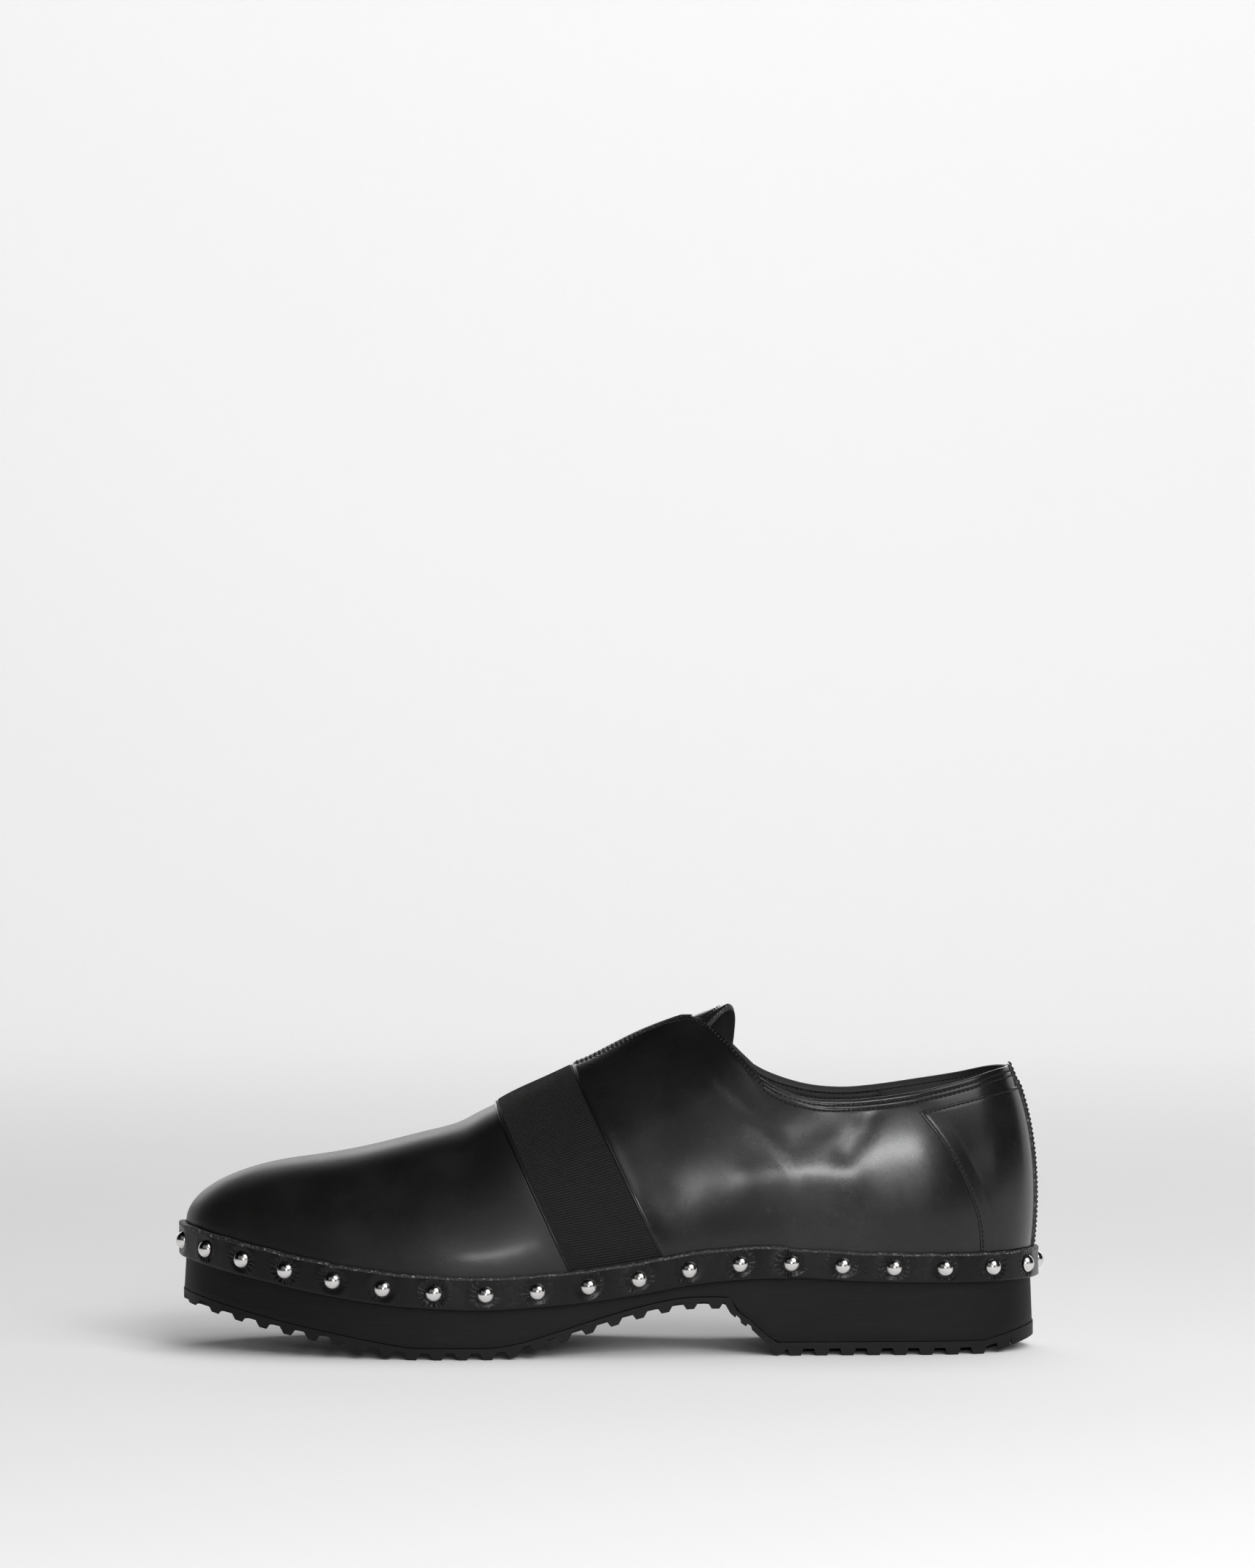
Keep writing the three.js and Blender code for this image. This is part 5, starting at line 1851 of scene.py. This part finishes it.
@dataclass
class Rand:
    """Studded leather strip round the foot of the upper, in a front and a heel piece."""

    last: Last
    gap: float = 0.3
    thickness: float = 2.3
    height: float = 10.2
    step: float = 0.8
    stud_spacing: float = 17.6
    studs_behind_joint: int = 6
    joint_offset: float = 1.2
    joint_gap: float = 0.3
    bevel: float = 0.6
    spacing: float = 1.0

    @cached_property
    def lengths(self) -> tuple[np.ndarray, np.ndarray]:
        """Places round the outline and the lengths run to them along the rand."""
        places = np.linspace(0, 1, 2001)
        outward = np.full(len(places), self.gap + self.thickness)
        return places, arc_lengths(self.last.rim(places, outward, np.zeros(len(places))))

    @property
    def total(self) -> float:
        """Length all round."""
        return float(self.lengths[1][-1])

    def place(self, length: np.ndarray) -> np.ndarray:
        """Place round the outline at a length from the back of the heel."""
        places, lengths = self.lengths
        return np.interp(np.asarray(length) % self.total, lengths, places)

    @property
    def stud_count(self) -> int:
        """Odd number of studs, so that one is at the back of the heel."""
        return 2 * round(self.total / self.stud_spacing / 2 - 0.5) + 1

    @property
    def stud_step(self) -> float:
        """Length from stud to stud."""
        return self.total / self.stud_count

    @property
    def joint(self) -> float:
        """Length from the heel to the joint of the two pieces."""
        return self.studs_behind_joint * self.stud_step + self.joint_offset

    def piece(self, name: str, start: float, end: float, taller: float, node: str) -> bpy.types.Object:
        """Builds one piece of the rand.

        Args:
            name: Name of the piece.
            start: Length at which it starts.
            end: Length at which it ends.
            taller: How much taller it is.
            node: Node that it stands for.

        Returns:
            The piece.
        """
        low, high = -self.height / 2 - taller / 2, self.height / 2 + taller
        out, back = self.gap + self.thickness, self.gap
        face = np.linspace(high - self.bevel * 0.7, low + 0.5, 20)[1:-1]
        section = [(back, low), (back, high - 0.25), (back + 0.25, high), (out - self.bevel - 0.1, high),
                   (out - self.bevel * 0.45, high - self.bevel * 0.22), (out - 0.12, high - self.bevel * 0.55),
                   (out, high - self.bevel * 0.8)]
        first = len(section)
        section += [(out, z) for z in face] + [(out, low + 0.45), (out - 0.12, low + 0.14), (out - 0.45, low)]
        count = int((end - start) / self.spacing)
        lengths = np.linspace(start, end, count)
        ends = np.minimum(lengths - start, end - lengths)
        shape = np.array(section)
        outward = np.broadcast_to(shape[:, 0][:, None], (len(shape), count)).copy()
        rise = np.broadcast_to(shape[:, 1][:, None], (len(shape), count)).copy()
        along = (lengths + self.stud_step / 2) % self.stud_step - self.stud_step / 2
        ring = np.hypot(along[None, :], rise)
        outer = (outward > out - 0.5)
        phase = lengths / self.stud_step
        lively = 0.6 + 0.4 * np.sin(phase * 2.7) * np.sin(phase * 1.3 + 0.7)
        dimple = -0.34 * bell(ring - 2.7, 1.2) * lively + 0.12 * bell(ring - 5.0, 1.1)
        wave = 0.1 * np.sin(lengths * 0.21) + 0.08 * np.sin(lengths * 0.47 + 1.3)
        outward += outer * (dimple + wave[None, :]) + outer * rounding(ends, 0.4)[None, :]
        top = rise > high - 1.0
        notch = -0.38 * bell(along, 1.9) * np.clip(np.sin(phase * 5.1 + 0.6), 0, 1)
        rise += top * (notch + 0.1 * np.sin(lengths * 0.33))[None, :]
        places = self.place(lengths)
        grid = self.last.rim(np.broadcast_to(places, outward.shape), outward, rise)
        draft = Draft()
        flat = np.stack([np.broadcast_to(lengths, rise.shape), rise], -1)
        index = draft.add(grid, flat)
        loop = np.concatenate([index, index[:1]], 0)
        draft.grid(loop[:3], 1)
        draft.grid(loop[2:first + 1], 1)
        draft.grid(loop[first:], 0)
        for column in (index[:, 0], index[:, -1]):
            draft.faces.append(tuple(column.tolist()))
            draft.slots.append(1)
        # The top ledge and bevels take the cut-edge finish, whose lighter colour is a painted highlight.
        made = draft.piece(name, [RAND, EDGE], 42)
        return settle(made, Slot.RAND, node)

    def build(self) -> list[bpy.types.Object]:
        """Builds both pieces."""
        near, far, half_gap = self.joint, self.total - self.joint, self.joint_gap / 2
        front = self.piece("rand_front_leather", near + half_gap, far - half_gap, self.step, "rand_front")
        heel = self.piece("rand_heel_leather", far + half_gap, self.total + near - half_gap, 0.0, "rand_heel")
        return [front, heel]


RAND = RandLeather("rand_calf", stud_step=Rand(Last()).stud_step)


@dataclass
class Studs:
    """Chrome domes at even lengths round the rand."""

    rand: Rand
    radius: float = 3.05
    height: float = 2.3
    skirt: float = 0.12
    seat: float = 0.1
    segments: int = 30
    rings: int = 10

    def template(self) -> bpy.types.Object:
        """Dome that stands on z = 0, with its rim turned under."""
        bulge = (self.radius ** 2 + (self.height - self.skirt) ** 2) / (2 * (self.height - self.skirt))
        edge = math.asin(min(self.radius / bulge, 1.0))
        profile = [(self.radius * 0.9, 0.0), (self.radius, 0.06), (self.radius, self.skirt * 0.7)]
        for i in range(self.rings):
            angle = edge * (1 - i / self.rings)
            profile.append((bulge * math.sin(angle), self.skirt + bulge * (math.cos(angle) - math.cos(edge))))
        angles = np.linspace(0, 2 * math.pi, self.segments, endpoint=False)
        rings = np.stack([
            np.stack([r * np.cos(angles), r * np.sin(angles), np.full(self.segments, z)], 1) for r, z in profile
        ])
        draft = Draft()
        index = draft.add(rings - ORIGIN)
        draft.grid(index, 0, closed=True)
        draft.faces.append(tuple(index[0].tolist()))
        draft.slots.append(0)
        tip = draft.add(np.array([[0, 0, self.height]]) - ORIGIN)[0]
        last = index[-1]
        draft.faces += [(int(a), int(b), int(tip)) for a, b in zip(last, np.roll(last, -1))]
        draft.slots += [0] * self.segments
        return draft.piece("stud_template", [CHROME], 30)

    def build(self) -> bpy.types.Object:
        """Builds all studs in one piece."""
        rand = self.rand
        lengths = np.arange(rand.stud_count) * rand.stud_step
        places = rand.place(lengths)
        out = np.full(len(places), rand.gap + rand.thickness)
        seats = rand.last.rim(places, out - 0.25 + self.seat, np.zeros(len(places)))
        inner = rand.last.rim(places, out - 10, np.zeros(len(places)))
        facings = seats - inner
        facings /= np.linalg.norm(facings, axis=1, keepdims=True)
        lines = Lines()
        lines.add(seats, facings, joined=False)
        template = self.template()
        tree = Grower("stud_tree", {"Stud Size": 1.0})
        dome = tree.node("GeometryNodeObjectInfo", None, {"Object": template})["Geometry"]
        facing = tree.node("GeometryNodeInputNamedAttribute", {"data_type": "FLOAT_VECTOR"}, {"Name": "facing"})[0]
        turned = tree.node("FunctionNodeAlignRotationToVector", {"axis": "Z"}, {"Vector": facing})[0]
        size = tree.given["Stud Size"]
        scale = tree.node("ShaderNodeCombineXYZ", None, {0: size, 1: size, 2: size})[0]
        placed = tree.node(
            "GeometryNodeInstanceOnPoints", None,
            {"Points": tree.given["Geometry"], "Instance": dome, "Rotation": turned, "Scale": scale},
        )[0]
        tree.finish(placed, CHROME)
        piece = tree.grow("studs", lines, CHROME)
        bpy.data.objects.remove(template)
        names = [f"stud_{i + 1:02d}" for i in range(rand.stud_count)]
        return settle(piece, Slot.STUD, *names)


@dataclass
class Sole:
    """Platform midsole and lugged outsole."""

    last: Last
    lug_pitch: float = 8.6
    lug_depth: float = 2.4
    first_lug: float = 8.0
    core_edge: float = 0.2
    core_gap: float = 0.3
    outsole_base: float = 1.5
    heel_base: float = 2.2
    flare: float = 0.9
    rand_height: float = 10.2
    rand_step: float = 0.8
    rand_offset: float = 2.6
    bevel_start: float = 0.06
    bevel_height: float = 0.15
    breast: tuple[tuple[float, float], ...] = (
        (0.358, 0.5), (0.345, 0.38), (0.331, 0.29), (0.313, 0.12), (0.303, 0.0),
    )

    def heel_bottom(self, x: np.ndarray) -> np.ndarray:
        """Height of the bottom of the heel, which rises in a bevel at the back."""
        start = self.bevel_start * self.last.length
        return np.maximum(0, self.bevel_height * self.last.platform * (1 - np.asarray(x) / start))

    def lugs(
        self, start: float, end: float, height: Callable[[float], float], tip: float, flank: float
    ) -> list[tuple[float, float]]:
        """Side view of a row of lugs.

        Args:
            start: Where the row starts.
            end: Where it ends.
            height: Height of the tips along it.
            tip: Share of the pitch that a tip takes.
            flank: Share that each flank takes.

        Returns:
            Corners of the line.
        """
        count = max(1, round(abs(end - start) / self.lug_pitch))
        pitch = (end - start) / count
        line = []
        for i in range(count):
            at = start + i * pitch
            for share, deep in ((0, 1), (flank, 0), (flank + tip, 0), (2 * flank + tip, 1)):
                x = at + pitch * share
                line.append((x, float(height(x)) + self.lug_depth * deep))
        return line

    def bottom_line(self) -> np.ndarray:
        """Side view of the bottom from heel to toe."""
        length = self.last.length
        toe, back = length + self.rand_offset, -self.rand_offset
        heel_front = self.breast[-1][0] * length
        breast = self.breast[0][0] * length
        line = [(back, float(self.heel_bottom(back))),
                (self.first_lug - 0.3, float(self.heel_bottom(self.first_lug)))]
        line += self.lugs(self.first_lug, heel_front, self.heel_bottom, 0.4, 0.1)
        line += [(heel_front, 0.0)]
        line += self.slope_lugs()
        line += self.lugs(breast + self.lug_pitch / 4, toe, self.last.tread, 0.3, 0.18)
        line += [(toe, float(self.last.tread(toe)) + self.lug_depth)]
        return np.array(line)

    def slope(self, x: np.ndarray) -> np.ndarray:
        """Height of the plain heel breast."""
        table = np.array(self.breast[::-1]) * np.array([self.last.length, self.last.platform])
        return np.interp(x, table[:, 0], table[:, 1])

    def slope_lugs(self) -> list[tuple[float, float]]:
        """Side view of the heel breast, notched near the waist."""
        length, high = self.last.length, self.last.platform
        line = [(a * length, b * high) for a, b in reversed(self.breast[2:-1])]
        start, end = line[-1][0] + 0.4, self.breast[0][0] * length
        pitch = (end - start) / 2
        for i in range(2):
            for share, deep in ((0.0, 0.0), (0.06, 1.2), (0.4, 1.2), (0.55, 0.0)):
                x = start + (i + share) * pitch
                line.append((x, float(self.slope(x)) + deep))
        return line + [(end, float(self.slope(end)))]

    def tips(self, x: np.ndarray) -> np.ndarray:
        """Height of the tips of the lugs from heel to toe."""
        length = self.last.length
        heel, front = self.breast[-1][0] * length, self.breast[0][0] * length
        return np.where(x < heel, self.heel_bottom(x), np.where(x < front, self.slope(x), self.last.tread(x)))

    def parting_line(self) -> np.ndarray:
        """Side view of the line between the outsole and the midsole, from heel to toe."""
        length, high = self.last.length, self.last.platform
        thick = self.lug_depth + self.outsole_base
        floor = self.lug_depth + self.heel_base
        heel_front = self.breast[-1][0] * length
        breast = self.breast[0][0] * length
        x = np.linspace(-2 * self.rand_offset, heel_front, 30)
        line = [(a, floor + float(self.heel_bottom(a))) for a in x]
        slope = [(a * length + 0.3 * thick, b * high + thick) for a, b in reversed(self.breast[1:-1])]
        line += [(a, b) for a, b in slope if b > floor]
        x = np.linspace(breast, length + 2 * self.rand_offset, 50)
        line += [(a, float(self.last.tread(a)) + thick) for a in x]
        return np.array(line)

    def half_widths(self, outward: float) -> dict[Side, tuple[np.ndarray, np.ndarray]]:
        """Outline at a distance outward, as sideways places over distances along, for each side."""
        made = {}
        for side in Side:
            half = np.linspace(0, 0.5, 4000)
            points = self.last.rim(side.place(half), np.full(4000, outward), np.zeros(4000))
            made[side] = (np.maximum.accumulate(points[:, 0]), points[:, 1])
        return made

    def outsole(self) -> bpy.types.Object:
        """Builds the outsole as a ladder of stations from heel to toe."""
        bottom, parting = self.bottom_line(), self.parting_line()
        wide = self.half_widths(self.flare)
        start = max(wide[Side.OUTER][0][0], wide[Side.INNER][0][0]) + 0.002
        end = min(wide[Side.OUTER][0][-1], wide[Side.INNER][0][-1]) - 0.002
        tip = np.array([0, 0.01, 0.04, 0.1, 0.2, 0.35, 0.55, 0.8, 1.1, 1.5, 2, 2.7, 3.6, 4.8, 6.2])
        stations = np.r_[bottom[:, 0], np.arange(start, end, 2.5), start + tip, end - tip]
        stations = np.unique(np.round(stations[(stations >= start) & (stations <= end)], 3))
        stations = stations[np.r_[True, np.diff(stations) > 0.004]]
        low = np.interp(stations, bottom[:, 0], bottom[:, 1])
        high = np.interp(stations, parting[:, 0], parting[:, 1])
        sides = {side: np.interp(stations, *wide[side]) for side in Side}
        draft = Draft()
        rows = []
        for level in (low, low + (high - low) * 0.5, high):
            for side in (Side.OUTER, Side.INNER):
                rows.append(draft.add(np.stack([stations, sides[side], level], 1)))
        outer_low, inner_low, outer_mid, inner_mid, outer_high, inner_high = rows
        core = np.minimum(low, self.tips(stations) + self.core_gap)
        bars = [(0.1, low), (self.core_edge, low), (self.core_edge + 0.01, core), (0.36, core), (0.5, core)]
        bars += [(1 - share, level) for share, level in reversed(bars[:-1])]
        plain = [(share, high) for share in np.linspace(0, 1, 7)[1:-1]]
        for outer, inner, columns in ((outer_low, inner_low, bars), (outer_high, inner_high, plain)):
            line = outer
            for share, level in columns:
                y = sides[Side.OUTER] * (1 - share) + sides[Side.INNER] * share
                following = draft.add(np.stack([stations, y, level], 1))
                draft.strip(line, following)
                line = following
            draft.strip(line, inner)
        for a, b in ((outer_low, outer_mid), (outer_mid, outer_high), (inner_low, inner_mid), (inner_mid, inner_high)):
            draft.strip(a, b)
        for end_at in (0, -1):
            lower = (outer_low, outer_mid, inner_mid, inner_low)
            upper = (outer_mid, outer_high, inner_high, inner_mid)
            for a, b, c, d in (lower, upper):
                draft.faces.append((int(a[end_at]), int(b[end_at]), int(c[end_at]), int(d[end_at])))
                draft.slots.append(0)
        piece = draft.piece("outsole_rubber", [OUTSOLE], 28)
        bevel = piece.modifiers.new("soft_corners", "BEVEL")
        bevel.width = 0.28 * MM
        bevel.segments = 2
        bevel.limit_method = "ANGLE"
        bevel.angle_limit = math.radians(32)
        return settle(piece, Slot.OUTSOLE, "outsole")

    def midsole(self) -> bpy.types.Object:
        """Builds the midsole as rings between the parting line and the foot of the upper."""
        parting = self.parting_line()
        count = 460
        places = np.linspace(0, 1, count, endpoint=False)
        x = self.last.outline(places)[:, 0]
        rand_low = self.last.foot(x) - self.rand_height / 2 - self.rand_step
        split = np.interp(x, parting[:, 0], parting[:, 1]) + 0.05
        tread = np.where(x < self.breast[-1][0] * self.last.length, 0, self.last.tread(x))
        foot = self.last.foot(x)
        rings = []

        def ring(height: np.ndarray, inset: float = 0.0) -> None:
            """Adds a ring at heights above the floor."""
            share = np.clip((rand_low - height) / np.maximum(rand_low - tread, 1), 0, 1)
            out = self.flare * share - inset
            rings.append(self.last.rim(places, out, height - foot))

        ring(split, 0.45)
        ring(split + 0.12, 0.12)
        ring(split + 0.4)
        for share in np.linspace(0, 1, 7)[1:]:
            ring(split + 0.4 + (rand_low - split - 0.4) * share)
        ring(foot - 0.4)
        ring(foot, 0.4)
        draft = Draft()
        index = draft.add(np.stack(rings))
        draft.grid(index, 0, closed=True)
        for row in (0, -1):
            edge = np.stack(rings)[row]
            mirror = edge[(-np.arange(count)) % count]
            middle = (edge + mirror) / 2
            cap = draft.add(middle[None])[0]
            line = index[row]
            draft.quads(line, np.roll(line, -1), np.roll(cap, -1), cap)
        piece = draft.piece("midsole_rubber", [MIDSOLE], 34, weld=2e-6)
        return settle(piece, Slot.MIDSOLE, "midsole")

    def build(self) -> list[bpy.types.Object]:
        """Builds both layers."""
        return [self.outsole(), self.midsole()]


@dataclass
class Stitching:
    """All visible seams."""

    quarters: Quarters
    counter: Counter
    strip: BackStrip
    tongue: Tongue
    pitch: float = 1.7
    length: float = 1.15
    radius: float = 0.3

    def build(self) -> bpy.types.Object:
        """Builds every stitch in one piece."""
        lines = Lines()
        for depth in self.quarters.seam_rows:
            lines.add(*self.quarters.seam(depth, 0.02))
            lines.add(*self.quarters.seam(depth, -self.quarters.thickness + 0.1))
        for points, facings in self.counter.seams() + self.strip.seams():
            lines.add(points, facings)
        lines.add(*self.tongue.seam())
        tree = stitch_tree("seam_tree", self.pitch, self.length, self.radius, THREAD)
        return settle(tree.grow("stitches", lines, THREAD), Slot.UPPER)


# Stage


@dataclass
class Stage:
    """Seamless floor, soft lights and the camera."""

    camera_place: tuple[float, float, float] = (-0.006, 2.0, 0.197)
    lens: float = 130.95
    lit_front: float = 0.62
    floor_front: float = 3.2
    wall: float = -3.2
    sweep: float = 1.0
    top: float = 1.7
    half_width: float = 4.5

    def paper(self, name: str, line: Sequence[tuple[float, float]], mirrored: bool = True) -> None:
        """Makes a run of pale paper.

        Args:
            name: Name of the run.
            line: Its side view, as distances along the camera's axis and heights.
            mirrored: Whether glossy surfaces show it.
        """
        half = self.half_width
        mesh = bpy.data.meshes.new(name)
        points = [(x, y, z) for y, z in line for x in (-half, half)]
        faces = [(2 * i, 2 * i + 2, 2 * i + 3, 2 * i + 1) for i in range(len(line) - 1)]
        mesh.from_pydata(points, [], faces)
        mesh.shade_smooth()
        mesh.materials.append(PaleStage("pale_paper").material())
        made = bpy.data.objects.new(name, mesh)
        made.visible_glossy = mirrored
        bpy.context.scene.collection.objects.link(made)
        made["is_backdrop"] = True

    def floor(self) -> None:
        """Makes the floor, which sweeps up into the backdrop, and its dim front part near the camera."""
        foot, steps = self.wall + self.sweep, 16
        line = [(self.lit_front, 0.0), (foot, 0.0)]
        for i in range(1, steps + 1):
            angle = i / steps * math.pi / 2
            line.append((foot - self.sweep * math.sin(angle), self.sweep * (1 - math.cos(angle))))
        line.append((self.wall, self.top))
        self.paper("seamless_floor", line)
        self.paper("front_floor", [(self.floor_front, 0.0), (self.lit_front, 0.0)], mirrored=False)

    def light(
        self,
        name: str,
        at: Sequence[float],
        aim: Sequence[float],
        size: tuple[float, float],
        power: float,
        mirrored: bool = True,
        lit: bool = True,
    ) -> None:
        """Adds a soft rectangular light.

        Args:
            name: Name of the light.
            at: Its place.
            aim: Point that it faces.
            size: Width and height in metres.
            power: Power in watts.
            mirrored: Whether glossy surfaces show it.
            lit: Whether it lights matte surfaces.
        """
        lamp = bpy.data.lights.new(name, "AREA")
        lamp.shape = "RECTANGLE"
        lamp.size, lamp.size_y = size
        lamp.energy = power
        made = bpy.data.objects.new(name, lamp)
        made.location = at
        made.rotation_euler = (Vector(aim) - Vector(at)).to_track_quat("-Z", "Y").to_euler()
        made.visible_glossy = mirrored
        made.visible_diffuse = lit
        made.visible_camera = False
        bpy.context.scene.collection.objects.link(made)

    def lights(self) -> None:
        """Places the lights.

        The three fills only light matte surfaces. The last three are only seen in glossy ones: the heel's edge,
        the crest of the vamp and the studs' toe side. The patch makes the highlight on the quarter.
        """
        self.light("top_fill", (-0.5, -0.7, 2.6), (0.0, -0.5, 0.0), (3.0, 1.6), 36.0, mirrored=False)
        self.light("front_fill", (-1.2, 3.3, 1.6), (0.0, 0.0, 0.0), (1.8, 1.2), 92.0, mirrored=False)
        self.light("wall_fill", (-0.6, -1.7, 2.5), (0.0, -3.2, 0.4), (4.5, 0.8), 3.5, mirrored=False)
        self.light("panel", (-1.3, 3.0, 1.9), (0.0, 0.0, 0.1), (4.4, 2.4), 11.0)
        self.light("key", (-0.86, 0.95, 1.2), (-0.02, 0.0, 0.06), (1.15, 1.15), 11.5)
        self.light("patch", (-0.23, 2.05, 0.42), (-0.08, 0.0, 0.06), (0.34, 0.17), 7.4)
        self.light("heel", (-1.8, 1.35, 0.32), (-0.12, 0.0, 0.06), (1.0, 0.26), 0.9, lit=False)
        self.light("rim", (0.1, -1.7, 0.72), (0.1, 0.0, 0.08), (2.4, 0.5), 5.4, lit=False)
        self.light("side", (1.6, 2.2, 1.5), (0.0, 0.0, 0.06), (2.4, 1.8), 2.0, lit=False)
        world = bpy.data.worlds.new("dim_studio")
        world.use_nodes = True
        world.node_tree.nodes["Background"].inputs[0].default_value = (0.8, 0.8, 0.81, 1)
        world.cycles_visibility.glossy = False
        world.cycles_visibility.diffuse = False
        bpy.context.scene.world = world

    def camera(self) -> None:
        """Places the camera level with the photograph's."""
        data = bpy.data.cameras.new("camera")
        data.lens = self.lens
        data.sensor_width = 36.0
        made = bpy.data.objects.new("camera", data)
        made.location = self.camera_place
        made.rotation_euler = (math.radians(90), 0.0, math.radians(180))
        bpy.context.scene.collection.objects.link(made)
        bpy.context.scene.camera = made

    def build(self) -> None:
        """Builds the stage."""
        self.floor()
        self.lights()
        self.camera()
        bpy.context.scene.view_settings.view_transform = "Standard"


def main() -> None:
    """Builds every sub-assembly in order."""
    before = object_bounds()
    last = Last()
    gore = GoreEdges(last)
    quarters = Quarters(last, gore)
    counter, strip, tongue, rand = Counter(last), BackStrip(last), Tongue(last), Rand(last)
    quarters.build()
    Vamp(last, gore).build()
    Elastic(last, gore).build()
    counter.build()
    strip.build()
    tongue.build()
    inside = Inside(last)
    inside.footbed_piece()
    inside.grip_piece(quarters)
    rand.build()
    Studs(rand).build()
    Sole(last).build()
    Stitching(quarters, counter, strip, tongue).build()
    Stage().build()
    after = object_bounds()
    sizes = {"cad": [list(corner) for corner in before], "visual": [list(corner) for corner in after]}
    for name, pair in sizes.items():
        LOG.info("%s box: %s", name, [round((high - low) * 1000, 1) for low, high in zip(*pair)])


if __name__ == "__main__":
    main()
